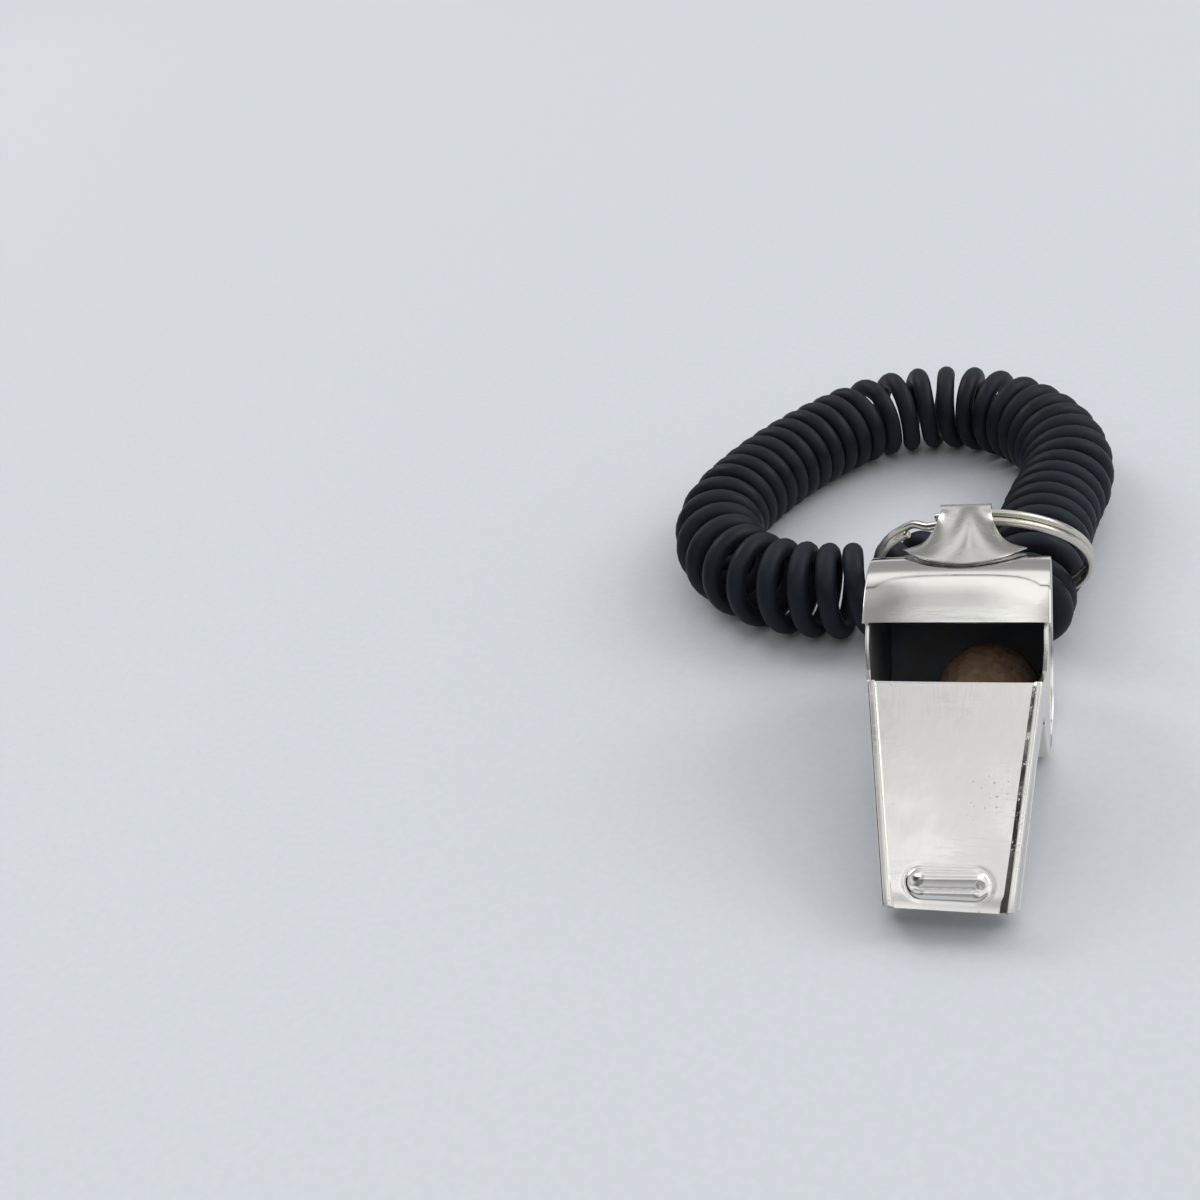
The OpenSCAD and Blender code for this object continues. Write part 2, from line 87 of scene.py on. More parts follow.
def bell(off: float, reach: float) -> float:
    """Gives a bell's height, 1 in its middle, so far off it."""
    return math.exp(-(off / reach) ** 2)


def spread(low: float, high: float, count: int) -> list[float]:
    """Gives count values from low to high, evenly spaced."""
    return [low + (high - low) * i / (count - 1) for i in range(count)]


def arc(centre: Pair, radius: float, start: float, end: float, steps: int) -> Outline:
    """Gives points on an arc in a plane.

    Args:
        centre: The arc's centre.
        radius: Its radius.
        start: The angle of its first point in degrees, from the first axis to the second.
        end: The angle of its last point.
        steps: The number of steps from the first point to the last.

    Returns:
        The points, both ends among them.
    """
    turns = (math.radians(a) for a in spread(start, end, steps + 1))
    return [(centre[0] + radius * math.cos(a), centre[1] + radius * math.sin(a)) for a in turns]


# The bench: steps of hand modelling that every piece uses

def put_down_all() -> None:
    """Leaves edit mode with nothing selected."""
    if bpy.context.object and bpy.context.object.mode != "OBJECT":
        bpy.ops.object.mode_set(mode="OBJECT")
    bpy.ops.object.select_all(action="DESELECT")


def pick_up(piece: Piece) -> None:
    """Selects one piece alone and makes it the active one.

    Args:
        piece: The piece to work on.
    """
    put_down_all()
    piece.select_set(True)
    bpy.context.view_layer.objects.active = piece


def take(name: str) -> Piece:
    """Names the piece that was just added and returns it."""
    bpy.context.object.name = name
    return bpy.context.object


def open_edit(piece: Piece) -> None:
    """Opens a piece in edit mode with all of it selected.

    Args:
        piece: The piece to open.
    """
    pick_up(piece)
    bpy.ops.object.mode_set(mode="EDIT")
    bpy.ops.mesh.select_all(action="SELECT")


def close_edit() -> None:
    """Goes back to object mode."""
    bpy.ops.object.mode_set(mode="OBJECT")


def pick_edges(piece: Piece, wanted: Callable[[bmesh.types.BMEdge], bool]) -> None:
    """Selects the open piece's edges that pass a test, and nothing else.

    Args:
        piece: The piece, open in edit mode.
        wanted: The test for an edge.
    """
    bpy.ops.mesh.select_all(action="DESELECT")
    bpy.ops.mesh.select_mode(type="EDGE")
    mesh = bmesh.from_edit_mesh(piece.data)
    for edge in mesh.edges:
        edge.select_set(wanted(edge))
    bmesh.update_edit_mesh(piece.data)


def face_out(piece: Piece) -> None:
    """Turns all of a piece's faces outwards.

    Args:
        piece: The piece to change.
    """
    open_edit(piece)
    bpy.ops.mesh.normals_make_consistent(inside=False)
    close_edit()


def face_up(piece: Piece, up: int = 1) -> None:
    """Turns an open sheet over if its faces don't look up, or down where up is -1."""
    if up * sum(face.normal.z * face.area for face in piece.data.polygons) < 0:
        piece.data.flip_normals()


def close_skin(piece: Piece) -> None:
    """Merges a piece's doubles, fills its open ends and turns its faces outwards.

    Args:
        piece: The piece, with open ends.
    """
    open_edit(piece)
    bpy.ops.mesh.remove_doubles(threshold=WELD)
    bpy.ops.mesh.fill_holes(sides=0)
    close_edit()
    face_out(piece)


def with_modifier(piece: Piece, kind: str, **settings: object) -> None:
    """Puts a modifier on a piece with its settings and applies it at once.

    Args:
        piece: The piece to change.
        kind: Blender's name for the modifier's type.
        **settings: The modifier's own settings.
    """
    pick_up(piece)
    modifier = piece.modifiers.new(kind.lower(), kind)
    for name, value in settings.items():
        setattr(modifier, name, value)
    bpy.ops.object.modifier_apply(modifier=modifier.name)


def soften(piece: Piece, width: float, sharp: float = 60.0) -> None:
    """Rounds a piece's edges that are sharper than so many degrees."""
    with_modifier(piece, "BEVEL", width=width, segments=2, limit_method="ANGLE",
                  angle_limit=math.radians(sharp))


def flat_blank(name: str, outline: Outline, start_x: float, width: float) -> Piece:
    """Cuts a flat blank from its outline in the side view and gives it its width along X.

    Args:
        name: The new piece's name.
        outline: Its outline as (y, z).
        start_x: Where the blank starts.
        width: How far it is extruded towards +X.

    Returns:
        The closed solid.
    """
    put_down_all()
    bpy.ops.mesh.primitive_circle_add(vertices=len(outline), radius=1, fill_type="NGON")
    piece = take(name)
    for vertex, (y, z) in zip(piece.data.vertices, outline, strict=True):
        vertex.co = (start_x, y, z)
    open_edit(piece)
    bpy.ops.mesh.extrude_region_move(TRANSFORM_OT_translate={"value": (width, 0, 0)})
    close_edit()
    face_out(piece)
    return piece


def formed_sheet(
    name: str,
    rows: int,
    cols: int,
    place: Callable[[float, float], Sequence[float]],
) -> Piece:
    """Lays a grid on a formula's surface; its own UV map keeps the two shares.

    Args:
        name: The new piece's name.
        rows: Faces along the second share.
        cols: Faces along the first share.
        place: Gives a point for the two shares from 0 to 1, across and along.

    Returns:
        The sheet, with no thickness yet.
    """
    put_down_all()
    bpy.ops.mesh.primitive_grid_add(x_subdivisions=cols, y_subdivisions=rows, size=2)
    piece = take(name)
    for vertex in piece.data.vertices:
        vertex.co = place((vertex.co.x + 1) / 2, (vertex.co.y + 1) / 2)
    return piece


def wire_along(
    name: str,
    line: list[Vector],
    outs: list[Vector],
    radius: Callable[[int, float], float],
    sides: int,
) -> Piece:
    """Draws a closed wire along a line.

    Args:
        name: The new piece's name.
        line: The points of its centreline.
        outs: A direction square to the line at each point, from which the sides are counted.
        radius: The wire's radius at a point's number and an angle round it.
        sides: Faces round the wire.

    Returns:
        The wire, closed at both ends.
    """
    last = len(line) - 1
    ways = [(line[min(i + 1, last)] - line[max(i - 1, 0)]).normalized() for i in range(last + 1)]

    def place(across: float, along: float) -> Vector:
        """Gives the point on the wire's skin for the two shares.

        Args:
            across: The share of the way round the wire.
            along: The share of the way along it.

        Returns:
            The point.
        """
        i = round(along * last)
        angle = across * math.tau
        out = (outs[i] - outs[i].project(ways[i])).normalized()
        side = ways[i].cross(out)
        return line[i] + radius(i, angle) * (math.cos(angle) * out + math.sin(angle) * side)

    piece = formed_sheet(name, last, sides, place)
    close_skin(piece)
    return piece


def hand_in(
    piece: Piece,
    body: Body,
    node: str,
    materials: Sequence[Material],
    smooth_below: float = 35.0,
) -> Piece:
    """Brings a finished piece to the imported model's frame, dresses it and puts it on its body.

    Args:
        piece: The piece, in millimetres about the barrel's axis.
        body: The body that it rides on.
        node: The CAD node that it stands for.
        materials: Its materials, the main one first.
        smooth_below: The angle in degrees under which edges are shaded smooth.

    Returns:
        The same piece.
    """
    open_edit(piece)
    bpy.ops.transform.translate(value=AXIS)
    bpy.ops.transform.resize(value=(MM, MM, MM), center_override=(0, 0, 0))
    close_edit()
    pick_up(piece)
    bpy.ops.object.shade_smooth_by_angle(angle=math.radians(smooth_below))
    for material in materials:
        piece.data.materials.append(material)
    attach(piece, body.value)
    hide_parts(node)
    log.info("%s: %d faces on %s", piece.name, len(piece.data.polygons), body.value)
    return piece


def paint_shade_inside(piece: Piece, index: int, wanted: Callable[[Vector, Vector], bool]) -> None:
    """Gives another material to the faces that pass a test on their centre and normal; the script uses it
    to lay painted shade on the chamber's inner faces.

    Args:
        piece: The piece, dressed.
        index: The material's place in the piece's list.
        wanted: The test for a face's centre and normal.
    """
    for face in piece.data.polygons:
        if wanted(face.center, face.normal):
            face.material_index = index


# Materials

class Board:
    """A node tree that is wired up in few words."""

    def __init__(self, tree: bpy.types.NodeTree) -> None:
        """Takes the tree to add nodes to."""
        self.tree = tree

    def node(self, kind: str, settings: dict[str, object] | None = None,
             **inputs: object) -> bpy.types.Node:
        """Adds a node.

        Args:
            kind: Its type, without ShaderNode in front.
            settings: Its own properties.
            **inputs: Values or outputs for its inputs; an underscore stands for a space.

        Returns:
            The new node.
        """
        made = self.tree.nodes.new("ShaderNode" + kind)
        for name, value in (settings or {}).items():
            setattr(made, name, value)
        for name, value in inputs.items():
            self.feed(made.inputs[name.replace("_", " ")], value)
        return made

    def feed(self, socket: Socket, value: object) -> None:
        """Links an output to a socket, or writes a plain value into it.

        Args:
            socket: The input to feed.
            value: An output or a plain value.
        """
        if isinstance(value, Socket):
            self.tree.links.new(value, socket)
        else:
            socket.default_value = value

    def sum(self, operation: str, first: object, second: object = 0.0) -> Socket:
        """Adds a Math node and returns its output.

        Args:
            operation: Blender's name for the sum.
            first: The first value or output.
            second: The second one, where the sum has two.

        Returns:
            The result.
        """
        made = self.node("Math", {"operation": operation})
        self.feed(made.inputs[0], first)
        self.feed(made.inputs[1], second)
        return made.outputs[0]

    def times(self, first: object, second: object) -> Socket:
        """Multiplies two values."""
        return self.sum("MULTIPLY", first, second)

    def plus(self, first: object, second: object) -> Socket:
        """Adds two values."""
        return self.sum("ADD", first, second)

    def minus(self, first: object, second: object) -> Socket:
        """Takes the second value from the first."""
        return self.sum("SUBTRACT", first, second)

    def ramp(self, value: object, low: float, high: float, to_low: float = 0.0,
             to_high: float = 1.0, smooth: bool = True) -> Socket:
        """Maps a value from one range to another, clamped.

        Args:
            value: The value or output to map.
            low: The value that gives to_low.
            high: The value that gives to_high.
            to_low: The result's first end.
            to_high: The result's other end.
            smooth: Whether the ends are eased.

        Returns:
            The mapped output.
        """
        kind = "SMOOTHSTEP" if smooth else "LINEAR"
        made = self.node("MapRange", {"interpolation_type": kind, "clamp": True})
        for name, given in zip(("Value", "From Min", "From Max", "To Min", "To Max"),
                               (value, low, high, to_low, to_high)):
            self.feed(made.inputs[name], given)
        return made.outputs["Result"]

    def mix(self, share: object, first: object, second: object) -> Socket:
        """Mixes two colours by a share and returns the colour.

        Args:
            share: The second colour's share.
            first: The first colour.
            second: The second colour.

        Returns:
            The mixed colour.
        """
        made = self.node("Mix", {"data_type": "RGBA"})
        self.feed(made.inputs[0], share)
        self.feed(made.inputs[6], first)
        self.feed(made.inputs[7], second)
        return made.outputs[2]

    def noise(self, coords: object, scale: object, detail: float = 3.0,
              roughness: float = 0.5) -> Socket:
        """Adds a noise texture and returns its value."""
        made = self.node("TexNoise", Vector=coords, Scale=scale, Detail=detail, Roughness=roughness)
        return made.outputs["Fac"]

    def group(self, tree: bpy.types.NodeTree, **inputs: object) -> Socket:
        """Places a shared group and returns what it puts out."""
        return self.node("Group", {"node_tree": tree}, **inputs).outputs[0]


def new_group(name: str, output: str, **inputs: str) -> tuple[Board, dict[str, Socket], Socket]:
    """Starts a node group.

    Args:
        name: The group's name.
        output: The name of the value that it puts out.
        **inputs: Socket types by name, each without NodeSocket in front.

    Returns:
        Its board, its input sockets by name and its output socket.
    """
    tree = bpy.data.node_groups.new(name, "ShaderNodeTree")
    for socket, kind in inputs.items():
        tree.interface.new_socket(socket, in_out="INPUT", socket_type="NodeSocket" + kind)
    tree.interface.new_socket(output, in_out="OUTPUT", socket_type="NodeSocketFloat")
    entry = tree.nodes.new("NodeGroupInput")
    leave = tree.nodes.new("NodeGroupOutput")
    return Board(tree), {n: entry.outputs[n] for n in inputs}, leave.inputs[output]


@dataclass
class Effects:
    """The node groups that the materials share, each built once."""

    pit_patch_share: float = 0.06
    pit_patches: Pair = (0.42, 0.72)
    pit_edge: float = 0.12
    line_range: Pair = (0.5, 0.75)
    line_band_share: float = 0.17
    line_bands: Pair = (0.35, 0.7)
    cloud_range: Pair = (0.3, 0.7)

    def __post_init__(self) -> None:
        """Builds the groups."""
        self.pits = self._pits()
        self.hairlines = self._hairlines()
        self.clouds = self._clouds()

    def _pits(self) -> bpy.types.NodeTree:
        """Fine round pits and specks, some places with more of them.

        Returns:
            The group's tree.
        """
        board, given, out = new_group("fine_pits", "Mask", Vector="Vector", Scale="Float", Amount="Float")
        cells = board.node("TexVoronoi", {"feature": "F1"}, Vector=given["Vector"], Scale=given["Scale"],
                           Randomness=1.0)
        patch = board.noise(given["Vector"], board.times(given["Scale"], self.pit_patch_share), 2.0)
        size = board.times(board.ramp(patch, *self.pit_patches), given["Amount"])
        dot = board.minus(size, cells.outputs["Distance"])
        board.feed(out, board.ramp(dot, 0.0, self.pit_edge))
        return board.tree

    def _hairlines(self) -> bpy.types.NodeTree:
        """Long fine scratches along the coordinates' first axis.

        Returns:
            The group's tree.
        """
        board, given, out = new_group("hairlines", "Mask", Vector="Vector", Scale="Float", Reach="Float")
        fine = board.noise(given["Vector"], given["Scale"], 4.0, 0.7)
        band = board.noise(given["Vector"], board.times(given["Scale"], self.line_band_share), 1.0)
        line = board.times(board.ramp(fine, *self.line_range), board.ramp(band, *self.line_bands))
        board.feed(out, board.times(line, given["Reach"]))
        return board.tree

    def _clouds(self) -> bpy.types.NodeTree:
        """Soft patches, as handling leaves on a surface.

        Returns:
            The group's tree.
        """
        board, given, out = new_group("handled_patches", "Value", Vector="Vector", Scale="Float")
        wide = board.noise(given["Vector"], given["Scale"], 3.0, 0.55)
        board.feed(out, board.ramp(wide, *self.cloud_range))
        return board.tree


def new_material(name: str) -> tuple[Material, Board, bpy.types.Node, Socket]:
    """Starts a material.

    Args:
        name: The material's name.

    Returns:
        The material, its board, its Principled BSDF and its Object coordinates.
    """
    material = bpy.data.materials.new(name)
    material.use_nodes = True
    board = Board(material.node_tree)
    shader = material.node_tree.nodes["Principled BSDF"]
    coords = board.node("TexCoord").outputs["Object"]
    return material, board, shader, coords


@dataclass(frozen=True)
class Nickel:
    """Nickel plate on sheet metal or wire, as bright or as worn as its values say."""

    name: str
    colour: Colour = (0.74, 0.72, 0.68, 1.0)
    stain: Colour = (0.46, 0.44, 0.40, 1.0)
    rough: Pair = (0.10, 0.22)
    patch_scale: float = 140.0
    pit_scale: float = 1500.0
    pit_amount: float = 0.22
    pit_depth: float = 0.00002
    pit_shade: float = 0.75
    pit_rough: float = 0.2
    line_stretch: Point = (1.0, 12.0, 12.0)
    line_scale: float = 300.0
    line_reach: float = 0.5
    line_shade: float = 0.35
    line_rough: float = 0.12
    ripple: float = 0.000012
    ripple_scale: float = 260.0

    def make(self, effects: Effects) -> Material:
        """Builds the material from the shared groups and returns it.

        Args:
            effects: The node groups that the materials share.

        Returns:
            The material.
        """
        material, board, shader, coords = new_material(self.name)
        pits = board.group(effects.pits, Vector=coords, Scale=self.pit_scale, Amount=self.pit_amount)
        along = board.node("Mapping", Vector=coords, Scale=self.line_stretch).outputs["Vector"]
        lines = board.group(effects.hairlines, Vector=along, Scale=self.line_scale, Reach=self.line_reach)
        patches = board.group(effects.clouds, Vector=coords, Scale=self.patch_scale)
        shade = board.sum("MAXIMUM", board.times(pits, self.pit_shade), board.times(lines, self.line_shade))
        board.feed(shader.inputs["Base Color"], board.mix(shade, self.colour, self.stain))
        shader.inputs["Metallic"].default_value = 1.0
        rough = board.plus(board.ramp(patches, 0.0, 1.0, *self.rough), board.times(pits, self.pit_rough))
        board.feed(shader.inputs["Roughness"], board.plus(rough, board.times(lines, self.line_rough)))
        peel = board.noise(coords, self.ripple_scale, 2.0)
        wave = board.node("Bump", Strength=1.0, Distance=self.ripple, Height=peel)
        relief = board.times(board.plus(pits, lines), -1.0)
        bump = board.node("Bump", Strength=1.0, Distance=self.pit_depth, Height=relief,
                          Normal=wave.outputs["Normal"])
        board.feed(shader.inputs["Normal"], bump.outputs["Normal"])
        return material


@dataclass(frozen=True)
class PaintedShadeSheet:
    """Painted shade: a dark, dull sheet that stands in for the shade inside the chamber, with random
    lighter patches.
    """

    name: str = "chamber_painted_shade"
    # Painted shade: this dark tone stands in for the shade inside the chamber.
    colour: Colour = (0.16, 0.18, 0.215, 1.0)
    lighter_patch: Colour = (0.26, 0.25, 0.245, 1.0)
    patch_scale: float = 260.0
    metallic: float = 0.4
    rough: Pair = (0.45, 0.7)

    def make(self, effects: Effects) -> Material:
        """Builds the material from the shared groups and returns it.

        Args:
            effects: The node groups that the materials share.

        Returns:
            The material.
        """
        material, board, shader, coords = new_material(self.name)
        patches = board.group(effects.clouds, Vector=coords, Scale=self.patch_scale)
        # Painted shade, lightened in random patches.
        board.feed(shader.inputs["Base Color"], board.mix(patches, self.colour, self.lighter_patch))
        shader.inputs["Metallic"].default_value = self.metallic
        board.feed(shader.inputs["Roughness"], board.ramp(patches, 0.0, 1.0, *self.rough))
        return material


@dataclass(frozen=True)
class Cork:
    """Turned cork: brown grains, darker flecks and open pores."""

    name: str = "turned_cork"
    colour: Colour = (0.36, 0.215, 0.13, 1.0)
    pale: Colour = (0.50, 0.32, 0.20, 1.0)
    fleck: Colour = (0.12, 0.065, 0.045, 1.0)
    grain_scale: float = 1100.0
    pore_scale: float = 900.0
    pore_amount: float = 0.25
    rough: Pair = (0.75, 0.95)
    relief: float = 0.8
    depth: float = 0.00012

    def make(self, effects: Effects) -> Material:
        """Builds the material from the shared groups and returns it.

        Args:
            effects: The node groups that the materials share.

        Returns:
            The material.
        """
        material, board, shader, coords = new_material(self.name)
        grains = board.node("TexVoronoi", {"feature": "F1"}, Vector=coords, Scale=self.grain_scale)
        tone = board.node("SeparateColor", Color=grains.outputs["Color"])
        base = board.mix(tone.outputs["Red"], self.colour, self.pale)
        pores = board.group(effects.pits, Vector=coords, Scale=self.pore_scale, Amount=self.pore_amount)
        board.feed(shader.inputs["Base Color"], board.mix(pores, base, self.fleck))
        board.feed(shader.inputs["Roughness"], board.ramp(pores, 0.0, 1.0, *self.rough))
        height = board.minus(grains.outputs["Distance"], pores)
        bump = board.node("Bump", Strength=self.relief, Distance=self.depth, Height=height)
        board.feed(shader.inputs["Normal"], bump.outputs["Normal"])
        return material


@dataclass(frozen=True)
class CoilPlastic:
    """Satin blue-black plastic of the wrist coil, a little dusty."""

    name: str = "coil_plastic"
    colour: Colour = (0.0085, 0.0115, 0.0175, 1.0)
    bloom: Colour = (0.016, 0.021, 0.030, 1.0)
    dust: Colour = (0.10, 0.11, 0.125, 1.0)
    patch_scale: float = 170.0
    dust_scale: float = 1300.0
    dust_amount: float = 0.12
    grain_scale: float = 5200.0
    specular: float = 0.18
    rough: Pair = (0.42, 0.60)
    relief: float = 0.5
    depth: float = 0.00002

    def make(self, effects: Effects) -> Material:
        """Builds the material from the shared groups and returns it.

        Args:
            effects: The node groups that the materials share.

        Returns:
            The material.
        """
        material, board, shader, coords = new_material(self.name)
        patches = board.group(effects.clouds, Vector=coords, Scale=self.patch_scale)
        specks = board.group(effects.pits, Vector=coords, Scale=self.dust_scale, Amount=self.dust_amount)
        base = board.mix(patches, self.colour, self.bloom)
        board.feed(shader.inputs["Base Color"], board.mix(specks, base, self.dust))
        shader.inputs["Specular IOR Level"].default_value = self.specular
        board.feed(shader.inputs["Roughness"], board.ramp(patches, 0.0, 1.0, *self.rough))
        grain = board.noise(coords, self.grain_scale, 2.0)
        height = board.plus(grain, specks)
        bump = board.node("Bump", Strength=self.relief, Distance=self.depth, Height=height)
        board.feed(shader.inputs["Normal"], bump.outputs["Normal"])
        return material


class Finishes:
    """All the object's materials, made once."""

    def __init__(self) -> None:
        """Makes the materials."""
        effects = Effects()
        self.band = Nickel("nickel_band", rough=(0.05, 0.10), pit_amount=0.2, line_reach=0.2,
                           ripple=0.000003, ripple_scale=700.0).make(effects)
        self.shell = Nickel("nickel_shell", rough=(0.12, 0.26), pit_amount=0.3).make(effects)
        self.plate = Nickel("nickel_plate", colour=(0.78, 0.765, 0.73, 1.0), rough=(0.14, 0.22),
                            line_reach=0.15, ripple=0.000005, ripple_scale=800.0).make(effects)
        self.bracket = Nickel("nickel_bracket", colour=(0.56, 0.55, 0.52, 1.0),
                              rough=(0.2, 0.34)).make(effects)
        self.solder = Nickel("grey_solder", colour=(0.36, 0.35, 0.33, 1.0), stain=(0.08, 0.07, 0.06, 1.0),
                             rough=(0.35, 0.6), pit_amount=0.5).make(effects)
        self.wire = Nickel("ring_wire", colour=(0.60, 0.57, 0.50, 1.0), stain=(0.16, 0.13, 0.10, 1.0),
                           rough=(0.2, 0.36), line_reach=0.9).make(effects)
        # Painted shade for the chamber's inner faces.
        self.inside = PaintedShadeSheet().make(effects)
        self.cork = Cork().make(effects)
        self.coil = CoilPlastic().make(effects)


# The whistle's sheet pieces

@dataclass(frozen=True)
class SideView:
    """The whistle's own places in the side view, about the barrel's axis."""

    barrel_r: float = 12.7
    corner_y: float = 13.35
    corner_up: float = 6.0
    slope: float = 31.6
    mouth_l: float = 27.1
    crease_y: float = 8.9
    cheek_half: float = 10.71
    inside_half: float = 10.2
    tip_half: float = 7.1
    eye_y: float = 13.2
    eye_up: float = 12.35

    def on_barrel(self, angle: float, r: float) -> Pair:
        """Gives (y, z) at an angle in degrees from the top towards the mouthpiece."""
        return (-r * math.sin(math.radians(angle)), r * math.cos(math.radians(angle)))

    def on_mouth(self, along: float, depth: float) -> Pair:
        """Gives (y, z) so far along the mouthpiece's top edge and so deep under it.

        Args:
            along: How far along the top edge.
            depth: How deep under it.

        Returns:
            The point as (y, z).
        """
        slope = math.radians(self.slope)
        return (-self.corner_y - along * math.cos(slope) + depth * math.sin(slope),
                self.corner_up - along * math.sin(slope) - depth * math.cos(slope))

    @property
    def taper(self) -> float:
        """The slope of a cheek's plan, towards the middle per millimetre."""
        run = self.mouth_l * math.cos(math.radians(self.slope)) + self.corner_y - self.crease_y
        return (self.cheek_half - self.tip_half) / run

    @property
    def tip_depth(self) -> float:
        """The mouthpiece's depth at its tip, where it touches the table."""
        slope = math.radians(self.slope)
        return (self.barrel_r + self.corner_up) / math.cos(slope) - self.mouth_l * math.tan(slope)

    def half_width(self, y: float) -> float:
        """Half of the width over the cheeks at a place along the whistle."""
        return self.cheek_half - max(0.0, -self.crease_y - y) * self.taper


SIDE = SideView()


def bend_cheeks_in(piece: Piece) -> None:
    """Creases a straight piece beside the barrel and leans its front part to the middle.

    Args:
        piece: The straight piece.
    """
    open_edit(piece)
    bpy.ops.mesh.bisect(plane_co=(0, -SIDE.crease_y, 0), plane_no=(0, 1, 0))
    close_edit()
    for vertex in piece.data.vertices:
        lean = SIDE.cheek_half - SIDE.half_width(vertex.co.y)
        vertex.co.x -= math.copysign(lean, vertex.co.x)


@dataclass
class Barrel:
    """The wide band round the chamber and the narrow wall at its front."""

    sheet: float = 0.4
    width: float = 22.0
    wall_width: float = 20.0
    lip_angle: float = 36.0
    end_angle: float = 95.0
    wall_from: float = 72.0
    wall_lap: float = 2.0
    crown: float = 0.13
    crown_power: int = 5
    crown_share: float = 0.985
    rim: float = 0.13
    rim_turn: float = 80.0
    lip_reach: float = 9.0
    lip_lift: float = 0.09
    lip_slack: float = 0.1
    ledge: float = 0.29
    ledge_drop: float = 0.24
    ledge_fade: float = 6.0
    rim_steps: int = 4
    crown_points: int = 33
    inside_points: int = 9
    steps: int = 200

    def section(self, half: float, crown: float) -> Outline:
        """Gives the sheet's section as (x, radius), closed, from its left edge.

        Args:
            half: Half of the strip's width.
            crown: How far the outside falls away towards the edges.

        Returns:
            The points in order.
        """
        outer, inner = SIDE.barrel_r, SIDE.barrel_r - self.sheet
        flat = half - self.rim
        points: Outline = [(-half, inner + self.rim / 2)]
        low = outer - crown - self.rim
        points += arc((-flat, low), self.rim, 180, 180 - self.rim_turn, self.rim_steps)
        reach = flat * self.crown_share
        points += [(x, outer - crown * abs(x / flat) ** self.crown_power)
                   for x in spread(-reach, reach, self.crown_points)]
        points += arc((flat, low), self.rim, self.rim_turn, 0, self.rim_steps)
        points += [(half, inner + self.rim / 2), (flat, inner)]
        hidden = min(SIDE.inside_half, flat - self.rim)
        points += [(x, inner) for x in spread(hidden, -hidden, self.inside_points)]
        points += [(-flat, inner)]
        return points

    def strip(self, name: str, half: float, crown: float, start: float, end: float) -> Piece:
        """Spins a strip of sheet round the barrel's axis.

        Args:
            name: The piece's name.
            half: Half of its width.
            crown: How far its outside falls away towards the edges.
            start: The angle of its first edge, from the top towards the mouthpiece.
            end: The angle of its last edge.

        Returns:
            The closed strip.
        """
        section = self.section(half, crown)
        put_down_all()
        bpy.ops.mesh.primitive_circle_add(vertices=len(section), radius=1, fill_type="NOTHING")
        piece = take(name)
        for vertex, (x, r) in zip(piece.data.vertices, section, strict=True):
            vertex.co = (x, *SIDE.on_barrel(start, r))
        open_edit(piece)
        bpy.ops.mesh.spin(steps=self.steps, angle=math.radians(start - end), center=(0, 0, 0),
                          axis=(1, 0, 0), dupli=False, use_normal_flip=False)
        close_edit()
        close_skin(piece)
        return piece

    def build(self, finishes: Finishes) -> None:
        """Makes the band and the front wall and dresses them.

        Args:
            finishes: The object's materials.
        """
        band = self.strip("band", self.width / 2, self.crown, self.lip_angle, self.end_angle - 360)
        start = self.lip_angle - self.lip_reach
        for vertex in band.data.vertices:
            angle = math.degrees(math.atan2(-vertex.co.y, vertex.co.z))
            if start < angle < self.lip_angle + self.lip_slack:
                lift = self.lip_lift * ((angle - start) / self.lip_reach) ** 2
                vertex.co.yz = vertex.co.yz * (1 + lift / SIDE.barrel_r)
            if vertex.co.z < 0:
                fade = blend_step(-self.ledge_fade, self.ledge_fade, -vertex.co.y)
                half = SIDE.half_width(vertex.co.y) + self.ledge - self.ledge_drop * fade
                vertex.co.x *= min(1.0, 2 * half / self.width)
        wall = self.strip("front_wall", self.wall_width / 2, 0.0, self.wall_from,
                          self.end_angle + self.wall_lap)
        # Painted shade: faces inside the band's inner radius, between the cheeks, take the dark chamber
        # material.
        limit = (SIDE.barrel_r - self.sheet / 2) * MM
        for piece in (band, wall):
            hand_in(piece, Body.WHISTLE, "barrel_band", [finishes.band, finishes.inside])
            paint_shade_inside(piece, 1, lambda centre, _normal: (centre - AXIS * MM).yz.length < limit
                         and abs(centre.x) < SIDE.inside_half * MM)


